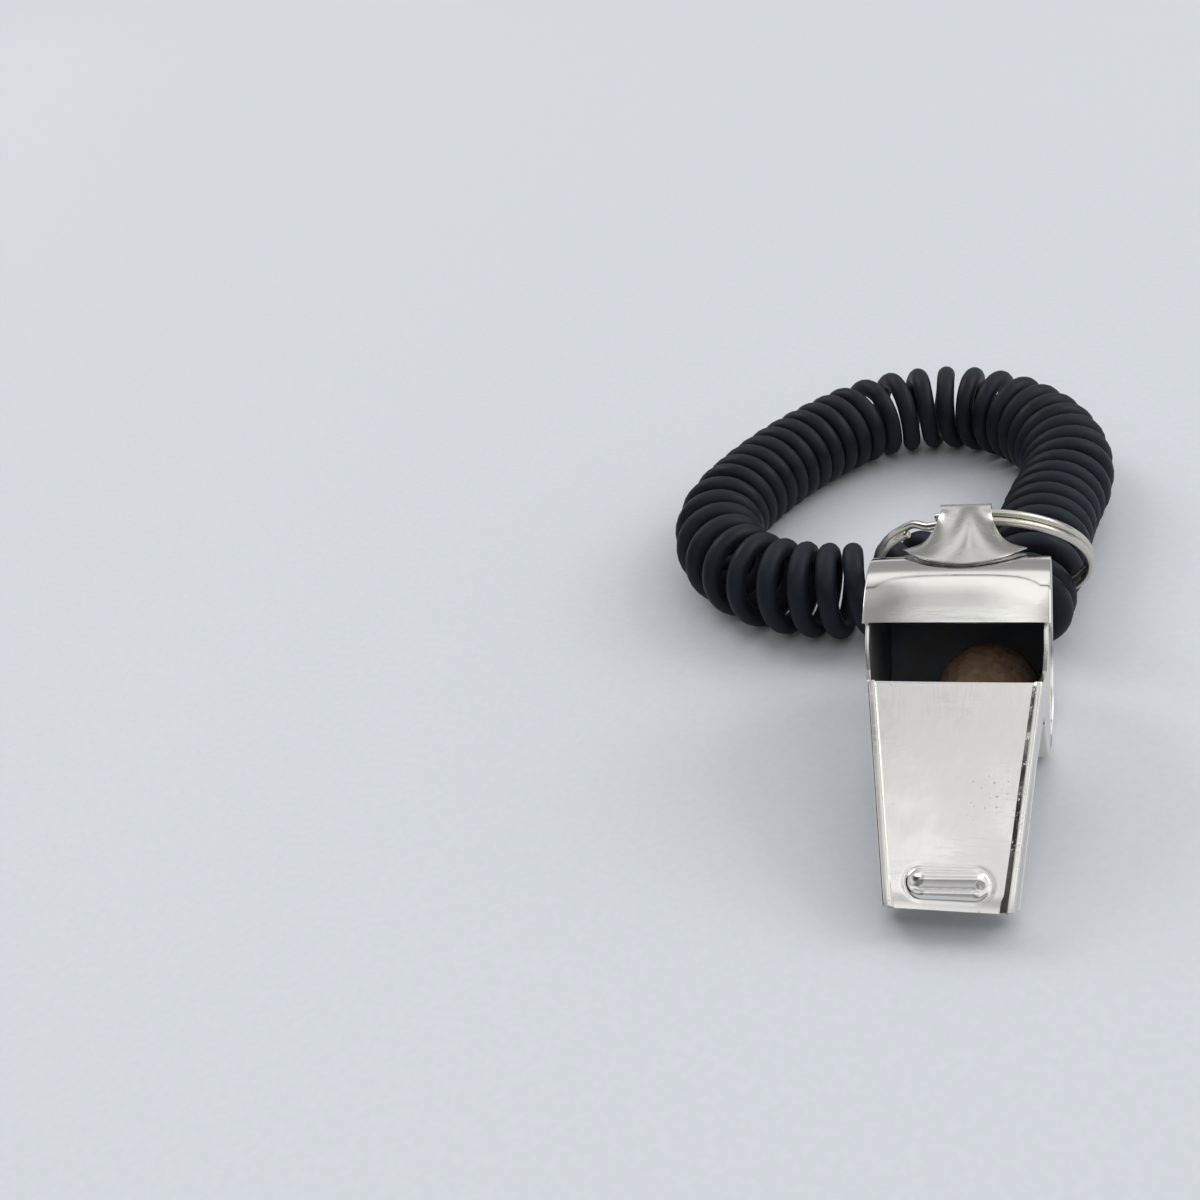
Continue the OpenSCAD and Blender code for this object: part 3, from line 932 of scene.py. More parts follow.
@dataclass
class Shell:
    """Both cheeks, the mouthpiece's folded floor, the tongue behind it and the two hems."""

    sheet: float = 0.5
    disc_r: float = 12.25
    disc_ahead: float = 13.5
    window_r: float = 11.55
    window_angle: float = 36.0
    disc_points: int = 160
    window_points: int = 16
    free_turn: float = 1.0
    free_slack: Pair = (0.01, 0.1)
    nub_angle: float = 63.0
    ledge_angle: float = 91.5
    arm_depth: float = 4.3
    fold_start: float = 8.2
    fold_relief: float = 0.2
    relief_share: float = 5.0
    fold_r: float = 0.9
    fold_faces: int = 8
    floor_rows: int = 24
    hem_round: float = 0.3
    hem_flats: Pair = (0.82, 0.56)
    hem_slopes: Pair = (0.46, 0.95)
    hem_share: float = 0.75
    hem_shoulder: float = 62.0
    hem_lip: Pair = (0.04, 0.25)
    hem_edge: float = 0.03
    hem_sharp: float = 50.0
    hem_stations: tuple[float, ...] = (0.0, 0.6, 1.8, 4.0, 8.0, 16.0, 24.0)
    tongue_sharp: float = 30.0
    tip_lean: float = 1.3
    tongue_at: Pair = (0.6, 2.1)
    inside_facing: float = -0.7
    hem_drop: float = 0.5
    hem_sheet: float = 0.28
    edge: float = 0.07

    @property
    def fold_depth(self) -> float:
        """The floor's depth where its fold starts."""
        return self.arm_depth - self.fold_relief

    def depth(self, along: float) -> float:
        """The floor's depth so far along the mouthpiece."""
        share = (along - self.fold_start) / (SIDE.mouth_l - self.fold_start)
        return self.fold_depth + (SIDE.tip_depth - self.fold_depth) * share

    def cheek_outline(self) -> Outline:
        """Gives one cheek's outline as (y, z), round the disc, the window's edge and the arm.

        Returns:
            The points in order.
        """
        relief = self.relief_share * self.fold_relief
        under = self.arm_depth * math.tan(math.radians(SIDE.slope)) + relief / 4
        disc = spread(self.ledge_angle, self.window_angle + 360, self.disc_points)
        points = [SIDE.on_barrel(a, self.disc_r) for a in disc]
        window = spread(self.window_angle, self.nub_angle, self.window_points)
        points += [SIDE.on_barrel(a, self.window_r) for a in window]
        return points + [
            SIDE.on_mouth(0, self.hem_round),
            SIDE.on_mouth(SIDE.mouth_l, self.hem_round),
            SIDE.on_mouth(SIDE.mouth_l - self.tip_lean, SIDE.tip_depth - self.fold_r),
            SIDE.on_mouth(self.fold_start, self.fold_depth - self.fold_r),
            SIDE.on_mouth(self.fold_start, self.fold_depth),
            SIDE.on_mouth(self.fold_start - relief, self.arm_depth),
            SIDE.on_mouth(under, self.arm_depth),
        ]

    def cheek(self, side: int) -> Piece:
        """Cuts one cheek, creases it and rounds its free edges.

        Args:
            side: -1 for the left cheek and 1 for the right one.

        Returns:
            The cheek.
        """
        start = SIDE.cheek_half - self.sheet if side > 0 else -SIDE.cheek_half
        name = "cheek_right" if side > 0 else "cheek_left"
        piece = flat_blank(name, self.cheek_outline(), start, self.sheet)
        bend_cheeks_in(piece)
        open_edit(piece)

        def free(edge: bmesh.types.BMEdge) -> bool:
            """Whether an edge lies on the disc's or the window's rim.

            Args:
                edge: The edge to test.

            Returns:
                Whether it does.
            """
            under, ahead = self.free_slack
            return (len(edge.link_faces) == 2 and edge.calc_face_angle(0.0) > self.free_turn
                    and all(v.co.yz.length > self.window_r - under and v.co.y > -self.disc_r - ahead
                            for v in edge.verts))

        pick_edges(piece, free)
        bpy.ops.mesh.bevel(offset=self.edge, segments=2, affect="EDGES")
        close_edit()
        return piece

    def floor(self) -> Piece:
        """Folds the mouthpiece's floor up into the cheeks and returns it.

        Returns:
            The floor.
        """
        bend = flat_faces = self.fold_faces
        columns = 2 * bend + flat_faces

        def place(across: float, along: float) -> Point:
            """Gives a point of the floor's outside.

            Args:
                across: The share of the way across, from 0 to 1.
                along: The share of the way along, from 0 to 1.

            Returns:
                The point.
            """
            run = self.fold_start + along * (SIDE.mouth_l - self.tip_lean - self.fold_start)
            depth = self.depth(run)
            half = SIDE.half_width(SIDE.on_mouth(run, depth)[0])
            column = across * columns
            turn = min(column, bend, columns - column) / bend * math.pi / 2
            rise = self.fold_r * (1 - math.sin(turn))
            inset = self.fold_r * (1 - math.cos(turn))
            if bend < column < bend + flat_faces:
                flat = half - self.fold_r
                x = -flat + (column - bend) / flat_faces * 2 * flat
            else:
                x = math.copysign(half - inset, across - 0.5)
            return (x, *SIDE.on_mouth(run, depth - rise))

        piece = formed_sheet("mouth_floor", self.floor_rows, columns, place)
        face_out(piece)
        face_up(piece, -1)
        with_modifier(piece, "SOLIDIFY", thickness=self.sheet, offset=-1.0, use_even_offset=True)
        return piece

    def tongue(self) -> Piece:
        """Makes the tongue that rises from the floor to the chamber's front wall.

        Returns:
            The tongue.
        """
        start = self.fold_start + self.fold_r
        run, top = self.tongue_at
        piece = flat_blank("tongue", [
            SIDE.on_mouth(start, self.fold_depth),
            SIDE.on_mouth(start, self.fold_depth - self.sheet),
            SIDE.on_mouth(run, top),
            SIDE.on_mouth(run, top + self.sheet),
        ], -SIDE.cheek_half + self.sheet, 2 * (SIDE.cheek_half - self.sheet))
        bend_cheeks_in(piece)
        soften(piece, self.edge, self.tongue_sharp)
        return piece

    def hem_section(self, flat: float, slope: float) -> Outline:
        """Gives a hem's section as (in from the cheek's face, above its top).

        Args:
            flat: Where its flat top ends.
            slope: The width of its inner slope.

        Returns:
            The points in order, out along the outside and back along the inside.
        """
        r, t = self.hem_round, self.hem_sheet
        outer = arc((r, -r), r, 180, 90, 6)
        outer += arc((flat, -r), r, 90, self.hem_shoulder, 3)
        lip_in, lip = self.hem_lip
        outer += [(flat + slope, -self.hem_drop), (flat + slope + lip_in, -self.hem_drop - lip)]
        inner = [(flat + slope - t, -self.hem_drop - lip), (flat, -t), (r, -t), (t, -r)]
        return outer + inner

    def hem(self, side: int) -> Piece:
        """Draws one hem from the window to the tip.

        Args:
            side: -1 for the left hem and 1 for the right one.

        Returns:
            The hem.
        """
        number = 0 if side < 0 else 1
        flat, slope = self.hem_flats[number], self.hem_slopes[number]
        count = len(self.hem_section(flat, slope))
        stations = (*self.hem_stations, SIDE.mouth_l)

        def place(across: float, along: float) -> Point:
            """Gives a point of the hem's skin.

            Args:
                across: The share of the way across, from 0 to 1.
                along: The share of the way along, from 0 to 1.

            Returns:
                The point.
            """
            run = stations[round(along * (len(stations) - 1))]
            width = slope * (self.hem_share + (1 - self.hem_share) * run / SIDE.mouth_l)
            inward, up = self.hem_section(flat, width)[round(across * count) % count]
            y, z = SIDE.on_mouth(run, -up)
            half = SIDE.half_width(SIDE.on_mouth(run, 0)[0])
            return (side * (half - inward), y, z)

        name = "hem_right" if side > 0 else "hem_left"
        piece = formed_sheet(name, len(stations) - 1, count, place)
        close_skin(piece)
        soften(piece, self.hem_edge, self.hem_sharp)
        return piece

    def build(self, finishes: Finishes) -> None:
        """Makes the pieces of folded sheet and dresses them.

        Args:
            finishes: The object's materials.
        """
        front = (AXIS.y - self.disc_ahead) * MM

        def keep(piece: Piece) -> Piece:
            """Hands a piece of the shell in."""
            return hand_in(piece, Body.WHISTLE, "body_shell",
                           [finishes.shell, finishes.inside])

        for side in (-1, 1):
            # Painted shade: the cheeks' inner faces at the chamber take the dark chamber material.
            paint_shade_inside(keep(self.cheek(side)), 1, lambda centre, normal, side=side:
                         normal.x * side < self.inside_facing and centre.y > front)
            keep(self.hem(side))
        keep(self.floor())
        keep(self.tongue())


@dataclass
class TopPlate:
    """The mouthpiece's top plate with its pressed tooth lug."""

    sheet: float = 0.4
    under_hem: float = 0.6
    lug_from_tip: float = 3.0
    lug_half: float = 2.85
    lug_r: float = 1.8
    lug_lean: float = 0.04
    bar_power: float = 1.3
    step_h: float = 0.12
    step_fall: float = 0.3
    moat_depth: float = 0.05
    moat_at: float = 0.15
    moat_reach: float = 0.25
    ridge_h: float = 0.5
    ridge_at: Pair = (-0.45, 0.95)
    ridge_ends: tuple[Pair, Pair] = ((-4.3, -2.6), (3.1, 4.1))
    lower_h: float = 0.2
    lower_at: Pair = (1.15, 0.6)
    lower_ends: tuple[Pair, Pair] = ((-3.9, -2.6), (2.6, 3.6))
    crease_depth: float = 0.12
    crease_at: float = 0.58
    crease_reach: float = 0.16
    crease_ends: Pair = (2.6, 3.6)
    pit_at: Pair = (3.55, 0.05)
    pit_r: float = 0.5
    pit_floor_share: float = 0.3
    pit_depth: float = 0.8
    plain_dip: float = 0.45
    tip_dip: float = 0.35
    tip_run: float = 2.2
    crown: float = 0.10
    coarse_rows: int = 40
    fine_rows: int = 110
    columns: int = 150
    edge: float = 0.06

    def bar(self, lean: float, at: Pair) -> float:
        """Gives the share of a rounded bar's height, from its middle and its half width."""
        off = lean - at[0]
        return math.cos(math.pi / 2 * min(abs(off) / at[1], 1.0)) ** self.bar_power

    def relief(self, u: float, v: float) -> float:
        """Gives the height of the pressed lug above the plain plate.

        Args:
            u: Across the mouthpiece from the lug's middle.
            v: From the lug's middle towards the tip.

        Returns:
            The height.
        """
        d = math.hypot(max(abs(u) - self.lug_half, 0.0), v) - self.lug_r
        step = self.step_h * (1 - blend_step(-self.step_fall, 0.0, d))
        moat = -self.moat_depth * bell(d - self.moat_at, self.moat_reach)
        lean = v + self.lug_lean * u
        ridge = self.ridge_h * self.bar(lean, self.ridge_at) * plateau(*self.ridge_ends, u)
        lower = self.lower_h * self.bar(lean, self.lower_at) * plateau(*self.lower_ends, u)
        crease = -self.crease_depth * bell(lean - self.crease_at, self.crease_reach)
        crease *= 1 - blend_step(*self.crease_ends, abs(u))
        hole = math.hypot(u - self.pit_at[0], v - self.pit_at[1])
        pit = self.pit_depth * (1 - blend_step(self.pit_r * self.pit_floor_share, self.pit_r, hole))
        return step + moat + crease + ridge + lower - pit

    def dip(self, run: float) -> float:
        """Gives the plate's depth below the hems' tops so far along the mouthpiece."""
        at_tip = blend_step(SIDE.mouth_l - self.tip_run, SIDE.mouth_l, run)
        return self.plain_dip + self.tip_dip * at_tip

    def build(self, finishes: Finishes) -> None:
        """Presses the plate, in fine rows at its lug, and dresses it.

        Args:
            finishes: The object's materials.
        """
        split = SIDE.mouth_l - 2 * self.lug_from_tip
        rows = self.coarse_rows + self.fine_rows
        runs = spread(0.0, split, self.coarse_rows + 1)
        runs += spread(split, SIDE.mouth_l, self.fine_rows + 1)[1:]

        def place(across: float, along: float) -> Point:
            """Gives a point of the plate's top.

            Args:
                across: The share of the way across, from 0 to 1.
                along: The share of the way along, from 0 to 1.

            Returns:
                The point.
            """
            run = runs[round(along * rows)]
            half = SIDE.half_width(SIDE.on_mouth(run, 0)[0]) - self.under_hem
            x = (2 * across - 1) * half
            crown = self.crown * (x / half) ** 2
            height = self.relief(x, run - SIDE.mouth_l + self.lug_from_tip)
            return (x, *SIDE.on_mouth(run, self.dip(run) - crown - height))

        plate = formed_sheet("top_plate_skin", rows, self.columns, place)
        face_up(plate)
        with_modifier(plate, "SOLIDIFY", thickness=self.sheet, offset=-1.0)
        soften(plate, self.edge)
        hand_in(plate, Body.WHISTLE, "top_plate", [finishes.plate])


@dataclass
class Bracket:
    """The ring's bracket: one strip folded over the eye, its lower lobe and the solder round it."""

    sheet: float = 0.22
    lobe_r: float = 7.8
    lobe_under: float = 0.22
    rim_turn: float = 80.0
    lobe_y: float = 9.2
    lobe_back: float = 2.4
    off_x: float = 0.4
    rim_lift: float = 0.5
    fold_swell: float = 2.4
    fold_at: float = 0.2
    fold_reach: float = 0.42
    eye_r: float = 1.85
    eye_half: float = 3.2
    leave_share: float = 0.75
    lower_r: float = 12.68
    upper_r: float = 12.93
    flare: float = 1.9
    wing: float = 12.0
    wing_share: float = 0.42
    upper_swell: float = -0.3
    leaf_share: float = 0.35
    edge: float = 0.07
    bead_turn: float = 96.0
    bead_r: Pair = (0.14, 0.10)
    bead_up: float = 0.04
    bead_waves: float = 0.16
    bead_points: int = 150
    bead_sides: int = 10
    strip_grid: tuple[int, int] = (40, 28)
    lobe_grid: tuple[int, int] = (24, 64)
    lobe_share: float = 0.999

    @property
    def front_r(self) -> float:
        """The radius of the lower lobe's front edge in plan."""
        return self.lobe_r - self.lobe_under

    @property
    def back_r(self) -> float:
        """The radius of the lower lobe's rear edge in plan."""
        return (self.lobe_r ** 2 + self.lobe_back ** 2) / 2 / self.lobe_back

    def on_top(self, x: float, y: float, r: float) -> Vector:
        """Gives the point of a cylinder round the barrel's axis over a place in plan."""
        return Vector((x + self.off_x, y, math.sqrt(r * r - y * y)))

    def front_rim(self, across: float) -> Vector:
        """Gives the upper lobe's rim, from -1 on the left to 1 on the right.

        Args:
            across: The share of the rim's turn to one side.

        Returns:
            The point.
        """
        turn = math.radians(self.rim_turn * across)
        return self.on_top(self.lobe_r * math.sin(turn), self.lobe_y - self.lobe_r * math.cos(turn),
                           self.upper_r + self.sheet / 2 + self.rim_lift * across * across)

    def back_rim(self, across: float) -> Vector:
        """Gives the lower lobe's rear rim, from -1 on the left to 1 on the right.

        Args:
            across: The share of the rim's turn to one side.

        Returns:
            The point.
        """
        turn = math.asin(self.lobe_r / self.back_r) * across
        y = self.lobe_y + self.lobe_back - self.back_r * (1 - math.cos(turn))
        return self.on_top(self.back_r * math.sin(turn), y, self.lower_r + self.sheet / 2)

    def leaf(self, eye: Vector, rim: Vector, down: float, swell: float) -> Vector:
        """Gives a point of a leaf between the eye and a rim.

        Args:
            eye: Its point at the eye.
            rim: Its point on the rim.
            down: The share of the way from the eye to the rim.
            swell: How much the leaf swells backwards and up.

        Returns:
            The point.
        """
        length = (rim - eye).length
        out = 4 * swell * down * (1 - down) * self.sheet * length / (2 * self.eye_half)
        way = rim - eye
        wide = (1 - self.wing_share) * down ** self.flare + self.wing_share * down ** self.wing
        return Vector((eye.x + way.x * wide, eye.y + way.y * down + out, eye.z + way.z * down + out))

    def leave_angle(self, rim: Vector, side: int) -> float:
        """Gives the angle round the eye where a straight line to a rim leaves it.

        Args:
            rim: The point on the rim.
            side: 1 for the strip's upper side and -1 for its lower one.

        Returns:
            The angle from the top towards the mouthpiece, in radians.
        """
        y, z = rim.y - SIDE.eye_y, rim.z - SIDE.eye_up
        turn = math.atan2(z, y) - math.pi / 2
        if turn < -math.pi / 2 and side > 0:
            turn += math.tau
        return turn - side * math.acos(self.eye_r / math.hypot(y, z))

    def strip_point(self, across: float, along: float) -> Vector:
        """Gives a point of the folded strip, from its front rim over the eye to its rear rim.

        Args:
            across: The share of the way across, from 0 to 1.
            along: The share of the way along, from 0 to 1.

        Returns:
            The point.
        """
        x = 2 * across - 1
        front, back = self.front_rim(x), self.back_rim(x)
        upper = self.leave_angle(self.front_rim(self.leave_share * x), 1)
        lower = self.leave_angle(back, -1)
        share = (along - self.leaf_share) / (1 - 2 * self.leaf_share)
        turn = upper + (lower - upper) * min(max(share, 0), 1)
        eye = Vector((self.eye_half * x + self.off_x, SIDE.eye_y - self.eye_r * math.sin(turn),
                      SIDE.eye_up + self.eye_r * math.cos(turn)))
        if along < self.leaf_share:
            swell = self.upper_swell + self.fold_swell * bell(x - self.fold_at, self.fold_reach)
            return self.leaf(eye, front, 1 - along / self.leaf_share, swell)
        return self.leaf(eye, back, max((along - 1) / self.leaf_share + 1, 0.0), 0.0)

    def lobe_point(self, across: float, along: float) -> Vector:
        """Gives a point of the lower lobe's outside, across from -1 side to the other.

        Args:
            across: The share of the way across, from 0 to 1.
            along: The share of the way along, from 0 to 1.

        Returns:
            The point.
        """
        x = (2 * across - 1) * self.front_r * self.lobe_share
        front = self.lobe_y - math.sqrt(self.front_r ** 2 - x * x)
        back = self.lobe_y + self.lobe_back - self.back_r + math.sqrt(self.back_r ** 2 - x * x)
        return self.on_top(x, front + (back - front) * along, self.lower_r + self.sheet)

    def build(self, finishes: Finishes) -> None:
        """Folds the strip, lays the lower lobe and runs the solder round it.

        Args:
            finishes: The object's materials.
        """
        strip = formed_sheet("bracket_leaf", *self.strip_grid, self.strip_point)
        with_modifier(strip, "SUBSURF", levels=2, render_levels=2, boundary_smooth="PRESERVE_CORNERS")
        with_modifier(strip, "SOLIDIFY", thickness=self.sheet, offset=0.0, use_even_offset=True)
        soften(strip, self.edge)
        hand_in(strip, Body.WHISTLE, "ring_bracket", [finishes.bracket])
        lobe = formed_sheet("bracket_lobe", *self.lobe_grid, self.lobe_point)
        face_up(lobe)
        with_modifier(lobe, "SOLIDIFY", thickness=self.sheet, offset=-1.0)
        soften(lobe, self.edge)
        hand_in(lobe, Body.WHISTLE, "ring_bracket", [finishes.bracket])
        self.solder(finishes)

    def solder(self, finishes: Finishes) -> None:
        """Runs an uneven bead of solder round the lower lobe's front.

        Args:
            finishes: The object's materials.
        """
        line = []
        for turn in spread(-self.bead_turn, self.bead_turn, self.bead_points):
            a = math.radians(turn)
            x, y = self.front_r * math.sin(a), self.lobe_y - self.front_r * math.cos(a)
            line.append(self.on_top(x, y, SIDE.barrel_r + self.bead_up))
        outs = [Vector((0, p.y, p.z)).normalized() for p in line]

        def radius(i: int, angle: float) -> float:
            """Gives the bead's uneven radius."""
            wave = noise.noise(Vector((i * self.bead_waves, math.cos(angle), 3.0)))
            return self.bead_r[0] + self.bead_r[1] * wave

        bead = wire_along("solder_bead", line, outs, radius, self.bead_sides)
        hand_in(bead, Body.WHISTLE, "bracket_solder", [finishes.solder])


@dataclass
class Pea:
    """The cork pea that lies in the chamber."""

    diameter: float = 12.6
    side: float = 3.2
    gap: float = 0.3
    band: float = 0.4
    lumps: Pair = (0.7, 0.05)
    pores: Pair = (2.2, 0.35)
    pores_from: float = 0.25
    pores_at: Point = (7.0, 1.0, 4.0)
    cuts: int = 6
    smooth_below: float = 180.0
    lower: float = 0.03

    def build(self, finishes: Finishes) -> None:
        """Turns the pea, opens its pores and dresses it.

        Args:
            finishes: The object's materials.
        """
        r = self.diameter / 2
        centre = Vector((self.side, 0.0, -SIDE.barrel_r + self.band + self.gap + r))
        put_down_all()
        bpy.ops.mesh.primitive_ico_sphere_add(subdivisions=self.cuts, radius=r, location=(0, 0, 0))
        piece = take("pea")
        for vertex in piece.data.vertices:
            spot = vertex.co.copy()
            lumps = self.lumps[1] * noise.noise(spot * self.lumps[0])
            pores = noise.noise(spot * self.pores[0] + Vector(self.pores_at)) - self.pores_from
            depth = max(0.0, pores) * self.pores[1]
            vertex.co = spot * (1 + (lumps - depth - self.lower) / r) + centre
        hand_in(piece, Body.PEA, "cork_pea", [finishes.cork], self.smooth_below)


@dataclass
class SplitRing:
    """The split ring: one wire of two turns, one flat on the other."""

    diameter: float = 29.0
    wire: float = 1.1
    seam: float = 0.05
    back: float = 33.0
    tilt: float = 8.0
    crossing: float = 114.0
    half: float = 7.0
    end_gap: float = 2.3
    eye_l: float = 6.4
    points: int = 420
    sides: int = 18
    edge: float = 0.06

    def build(self, finishes: Finishes) -> None:
        """Winds the wire and dresses it.

        Args:
            finishes: The object's materials.
        """
        r = (self.diameter - self.wire) / 2
        step = self.wire + self.seam
        tilt, back = math.radians(self.tilt), math.radians(self.back)
        flat, tall = math.sin(back), math.cos(back)
        across = Vector((math.cos(tilt), -math.sin(tilt) * flat, math.sin(tilt) * tall))
        down = Vector((math.sin(tilt), math.cos(tilt) * flat, -math.cos(tilt) * tall))
        axis = across.cross(-down)
        seat = self.eye_l ** 2 / 16 / r + self.eye_l / 4 * math.sin(tilt)
        middle = Vector((0, SIDE.eye_y, SIDE.eye_up)) + (r - seat) * down
        low, high = self.crossing - self.half, self.crossing + self.half
        line, outs = [], []
        for turn in spread(high + self.end_gap - 360, low + 360 - self.end_gap, self.points):
            angle = math.radians(turn)
            out = math.cos(angle) * across - math.sin(angle) * down
            height = step / 2 - step * blend_step(low, high, turn)
            line.append(middle + r * out + height * axis)
            outs.append(out)
        ring = wire_along("split_ring_wire", line, outs, lambda _i, _angle: self.wire / 2, self.sides)
        soften(ring, self.edge)
        hand_in(ring, Body.RING, "split_ring", [finishes.wire])


@dataclass
class WristCoil:
    """The curly wrist coil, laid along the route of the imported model."""

    outer: float = 14.2
    cord: float = 3.0
    pitch: float = 3.15
    lift: float = 0.0
    start: Pair = (6.6, 19.1)
    heading: float = 81.0
    runs: tuple[Pair, ...] = (
        (12, 0), (4.7, 2.6), (15.1, -8.8), (28, 59.1), (31.3, 90.6),
        (31.7, 26.9), (32.9, 95.2), (9.8, 16.5), (11.2, 35.5),
    )
    curls: int = 44
    first_close: float = 1.25
    last_close: float = 0.9
    first_open: float = 2.1
    last_open: float = 1.6
    phase: float = 127.0
    rings: int = 30
    bevel: int = 6
    length: float = 1563.0

    @property
    def curl_r(self) -> float:
        """The radius of the cord's centreline in a curl."""
        return (self.outer - self.cord) / 2

    def held(self, run: Pair) -> float:
        """Gives how many closed curls a run holds, counted on the inside of its bend."""
        return (run[0] - self.curl_r * math.radians(abs(run[1]))) / self.pitch

    def walk(self, place: Point, run: Pair, length: float) -> Point:
        """Follows a run for a length.

        Args:
            place: Where the run starts, as x, y and heading in degrees.
            run: Its length and the angle that it turns to the left.
            length: How far to follow it.

        Returns:
            The new x, y and heading.
        """
        x, y, heading = place
        turned = heading + run[1] * length / run[0]
        if run[1] == 0:
            way = math.radians(heading)
            return (x + length * math.cos(way), y + length * math.sin(way), heading)
        r = math.degrees(run[0]) / run[1]
        a, b = math.radians(heading), math.radians(turned)
        return (x + r * (math.sin(b) - math.sin(a)), y - r * (math.cos(b) - math.cos(a)), turned)

    def axis_at(self, turn: float) -> Point:
        """Gives the coil's axis after so many curls, as x, y and heading.

        Args:
            turn: The number of curls from the coil's start.

        Returns:
            The place.
        """
        place: Point = (*self.start, self.heading)
        before = 0.0
        for number, run in enumerate(self.runs):
            if turn < before + self.held(run) or number == len(self.runs) - 1:
                return self.walk(place, run, (turn - before) / self.held(run) * run[0])
            before += self.held(run)
            place = self.walk(place, run, run[0])
        return place

    def route(self) -> list[Vector]:
        """Gives the points of the cord's centreline, in millimetres about the barrel's axis.

        Returns:
            The points, from one end of the cord to the other.
        """
        points = []
        for i in range(self.curls * self.rings + 1):
            turn = i / self.rings
            early = (self.first_open - 1) * min(max(turn - self.first_close, 0), 1)
            late = (self.last_open - 1) * min(max(turn - self.curls + self.last_close + 1, 0), 1)
            x, y, heading = self.axis_at(turn + early + late)
            way, phase = math.radians(heading), math.radians(self.phase + 360 * turn)
            out = Vector((-math.sin(way) * math.cos(phase), math.cos(way) * math.cos(phase),
                          math.sin(phase)))
            axis = Vector((x, y, self.lift + self.outer / 2 - SIDE.barrel_r))
            points.append(axis + self.curl_r * out)
        first = points[0] + self.cord * (points[0] - points[1]).normalized()
        last = points[-1] + self.cord * (points[-1] - points[-2]).normalized()
        return [first, *points, last]

    def build(self, finishes: Finishes) -> None:
        """Args:
            finishes: The object's materials.
        """
        route = [(p + AXIS) * MM for p in self.route()]
        curve = bpy.data.curves.new("wrist_coil_cord", "CURVE")
        curve.dimensions = "3D"
        line = curve.splines.new("POLY")
        line.points.add(len(route) - 1)
        for point, place in zip(line.points, route, strict=True):
            point.co = (*place, 1.0)
        line.use_smooth = True
        curve.bevel_depth = self.cord / 2 * MM
        curve.bevel_resolution = self.bevel
        curve.use_fill_caps = True
        curve.materials.append(finishes.coil)
        cord = bpy.data.objects.new("wrist_coil_cord", curve)
        bpy.context.scene.collection.objects.link(cord)
        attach(cord, Body.COIL.value)
        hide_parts("wrist_coil")
        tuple(route[0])
        log.info("%s: %d points on coil", cord.name, len(route))


# The studio

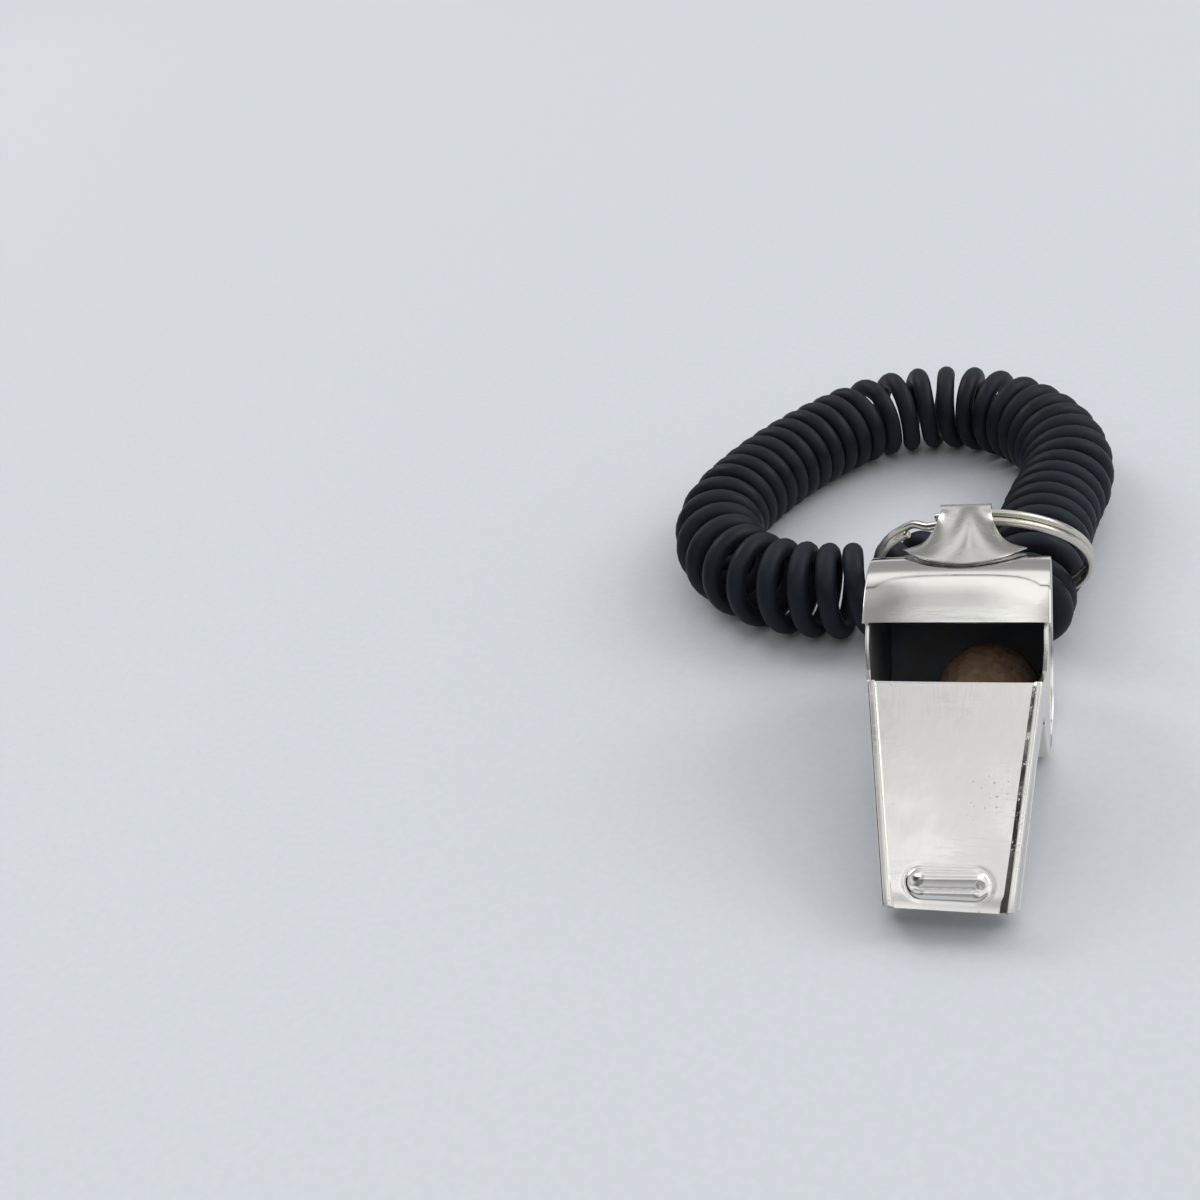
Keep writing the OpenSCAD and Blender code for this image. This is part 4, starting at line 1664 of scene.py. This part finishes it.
@dataclass
class Studio:
    """The camera at the photograph's angle, the pale floor and soft light."""

    place: Point = (0.01307, -0.14199, 0.12337)
    right: Point = (0.95057, 0.25451, -0.1779)
    up: Point = (0.00644, 0.55665, 0.83072)
    focal_pixels: float = 1436.25
    sensor: float = 36.0
    clip_start: float = 0.005
    floor_colour: Colour = (0.705, 0.735, 0.775, 1.0)
    floor_grain: Colour = (0.725, 0.755, 0.795, 1.0)
    sweep_levels: tuple[Pair, ...] = (
        (0, 0.30), (12, 0.28), (26, 0.32), (30, 0.42), (34, 0.84), (37.6, 0.92), (38.7, 0.12),
        (39.7, 0.12), (41, 0.74), (44, 0.98), (54, 0.94), (61, 0.78), (72, 0.62), (84, 0.63),
        (91, 0.82), (92.6, 0.80), (94, 0.46), (95.6, 0.95), (98.6, 0.92), (100.4, 0.40), (102, 0.52),
        (104, 0.90), (106, 1.0), (122, 0.92), (138, 0.5), (150, 0.22), (165, 0.3), (180, 0.35),
    )
    side_levels: tuple[Pair, ...] = (
        (-1, 0.02), (-0.74, 0.02), (-0.56, 0.5), (-0.14, 0.30), (-0.122, 0.34), (-0.108, 0.52),
        (-0.09, 0.68), (-0.06, 0.62), (-0.045, 0.76), (-0.028, 1.0), (0.02, 0.95), (0.1, 0.5),
        (0.3, 0.5), (0.6, 0.84), (1, 0.84),
    )
    side_gain: float = 1.5
    side_from: Pair = (44.0, 58.0)
    line_at: float = 37.0
    line_middle: float = -0.072
    line_reach: float = 0.055
    line_bend: float = 4.6
    line_most: float = 4.0
    line_until: Pair = (98.0, 101.0)
    room_tint: Colour = (0.98, 0.99, 1.0, 1.0)
    room_strength: float = 1.25
    floor_size: float = 6.0
    floor_rough: float = 0.6
    grain_scale: float = 900.0
    grain_range: Pair = (0.3, 0.7)
    lamps: tuple[tuple[str, Point, float, float], ...] = (
        ("right_window", (1.1, 0.5, 0.9), 0.7, 4.2),
        ("left_window", (-1.1, 0.7, 1.2), 0.7, 5.0),
    )
    lamp_aim: Point = (0.0, 0.0, 0.01)

    def camera(self) -> None:
        """Sets up the camera as it stood for the photograph."""
        data = bpy.data.cameras.new("camera")
        data.sensor_width = self.sensor
        data.lens = self.focal_pixels / PHOTO_PIXELS * self.sensor
        data.clip_start = self.clip_start
        camera = bpy.data.objects.new("camera", data)
        bpy.context.scene.collection.objects.link(camera)
        right, up = Vector(self.right), Vector(self.up)
        turn = Matrix((right, up, right.cross(up))).transposed()
        camera.matrix_world = Matrix.Translation(self.place) @ turn.to_4x4()
        bpy.context.scene.camera = camera

    def floor(self) -> None:
        """Lays the pale floor, which keeps the object's shadow."""
        put_down_all()
        bpy.ops.mesh.primitive_plane_add(size=self.floor_size, location=(0, 0, 0))
        floor = take("floor")
        material, board, shader, coords = new_material("pale_table")
        grain = board.noise(coords, self.grain_scale)
        shade = board.mix(board.ramp(grain, *self.grain_range), self.floor_colour, self.floor_grain)
        board.feed(shader.inputs["Base Color"], shade)
        shader.inputs["Roughness"].default_value = self.floor_rough
        floor.data.materials.append(material)

    def lamp(self, name: str, place: Point, size: float, power: float) -> None:
        """Adds a soft square lamp that points at the object.

        Args:
            name: Its name.
            place: Where it hangs, in metres.
            size: Its side.
            power: Its power in watts.
        """
        data = bpy.data.lights.new(name, "AREA")
        data.size = size
        data.energy = power
        lamp = bpy.data.objects.new(name, data)
        bpy.context.scene.collection.objects.link(lamp)
        lamp.location = place
        lamp.rotation_mode = "QUATERNION"
        lamp.rotation_quaternion = (Vector(self.lamp_aim) - Vector(place)).to_track_quat("-Z", "Y")

    def levels(self, board: Board, value: object, low: float, high: float,
               stops: Sequence[Pair]) -> Socket:
        """Gives a grey level for a value, eased between stops.

        Args:
            board: The world's board.
            value: The value to look up.
            low: The value at the scale's start.
            high: The value at its end.
            stops: The values and their levels, in order.

        Returns:
            The level.
        """
        share = board.ramp(value, low, high, smooth=False)
        made = board.node("ValToRGB", Fac=share)
        made.color_ramp.interpolation = "EASE"
        elements = made.color_ramp.elements
        while len(elements) > 1:
            elements.remove(elements[-1])
        for number, (place, level) in enumerate(stops):
            at = (place - low) / (high - low)
            element = elements[0] if number == 0 else elements.new(at)
            element.position = at
            element.color = (level, level, level, 1)
        return made.outputs["Color"]

    def world(self) -> None:
        """Surrounds the object with the room, which lights it and shows in its metal.

        The room's level depends on how far a way has turned from behind over the top to the
        front, and on how far it points to the side. The dark line low behind is bent in places,
        as the photograph's band mirrors it.
        """
        world = bpy.data.worlds.new("room")
        bpy.context.scene.world = world
        world.use_nodes = True
        board = Board(world.node_tree)
        way = board.node("SeparateXYZ", Vector=board.node("TexCoord").outputs["Generated"])
        sweep = board.times(board.sum("ARCTAN2", way.outputs["Z"], way.outputs["Y"]), math.degrees(1))
        off = board.sum("DIVIDE", board.minus(way.outputs["X"], self.line_middle), self.line_reach)
        bend = board.times(board.sum("MINIMUM", board.times(off, off), self.line_most), self.line_bend)
        bend = board.times(bend, board.ramp(sweep, *self.line_until, 1.0, 0.0))
        bent = board.sum("MAXIMUM", board.sum("MINIMUM", sweep, self.line_at), board.minus(sweep, bend))
        height = self.levels(board, bent, 0, 180, self.sweep_levels)
        side = self.levels(board, way.outputs["X"], -1, 1, self.side_levels)
        brightest = max(level for _place, level in self.side_levels)
        side = board.times(side, self.side_gain / brightest)
        side = board.mix(board.ramp(sweep, *self.side_from), (1, 1, 1, 1), side)
        tint = board.mix(board.times(side, height), (0, 0, 0, 1), self.room_tint)
        background = world.node_tree.nodes["Background"]
        board.feed(background.inputs["Color"], tint)
        background.inputs["Strength"].default_value = self.room_strength

    def build(self) -> None:
        """Lays the floor and lights the object."""
        self.floor()
        self.world()
        for lamp in self.lamps:
            self.lamp(*lamp)


def main() -> None:
    """Builds the camera, the cord, the whistle and the studio, in that order."""
    logging.basicConfig(level=logging.INFO, format="%(name)s: %(message)s")
    studio = Studio()
    studio.camera()
    finishes = Finishes()
    for part in (WristCoil(), Barrel(), Shell(), TopPlate(), Bracket(), Pea(), SplitRing()):
        part.build(finishes)
    studio.build()
    scene = bpy.context.scene
    scene.view_settings.view_transform = "Standard"


if __name__ == "__main__":
    main()
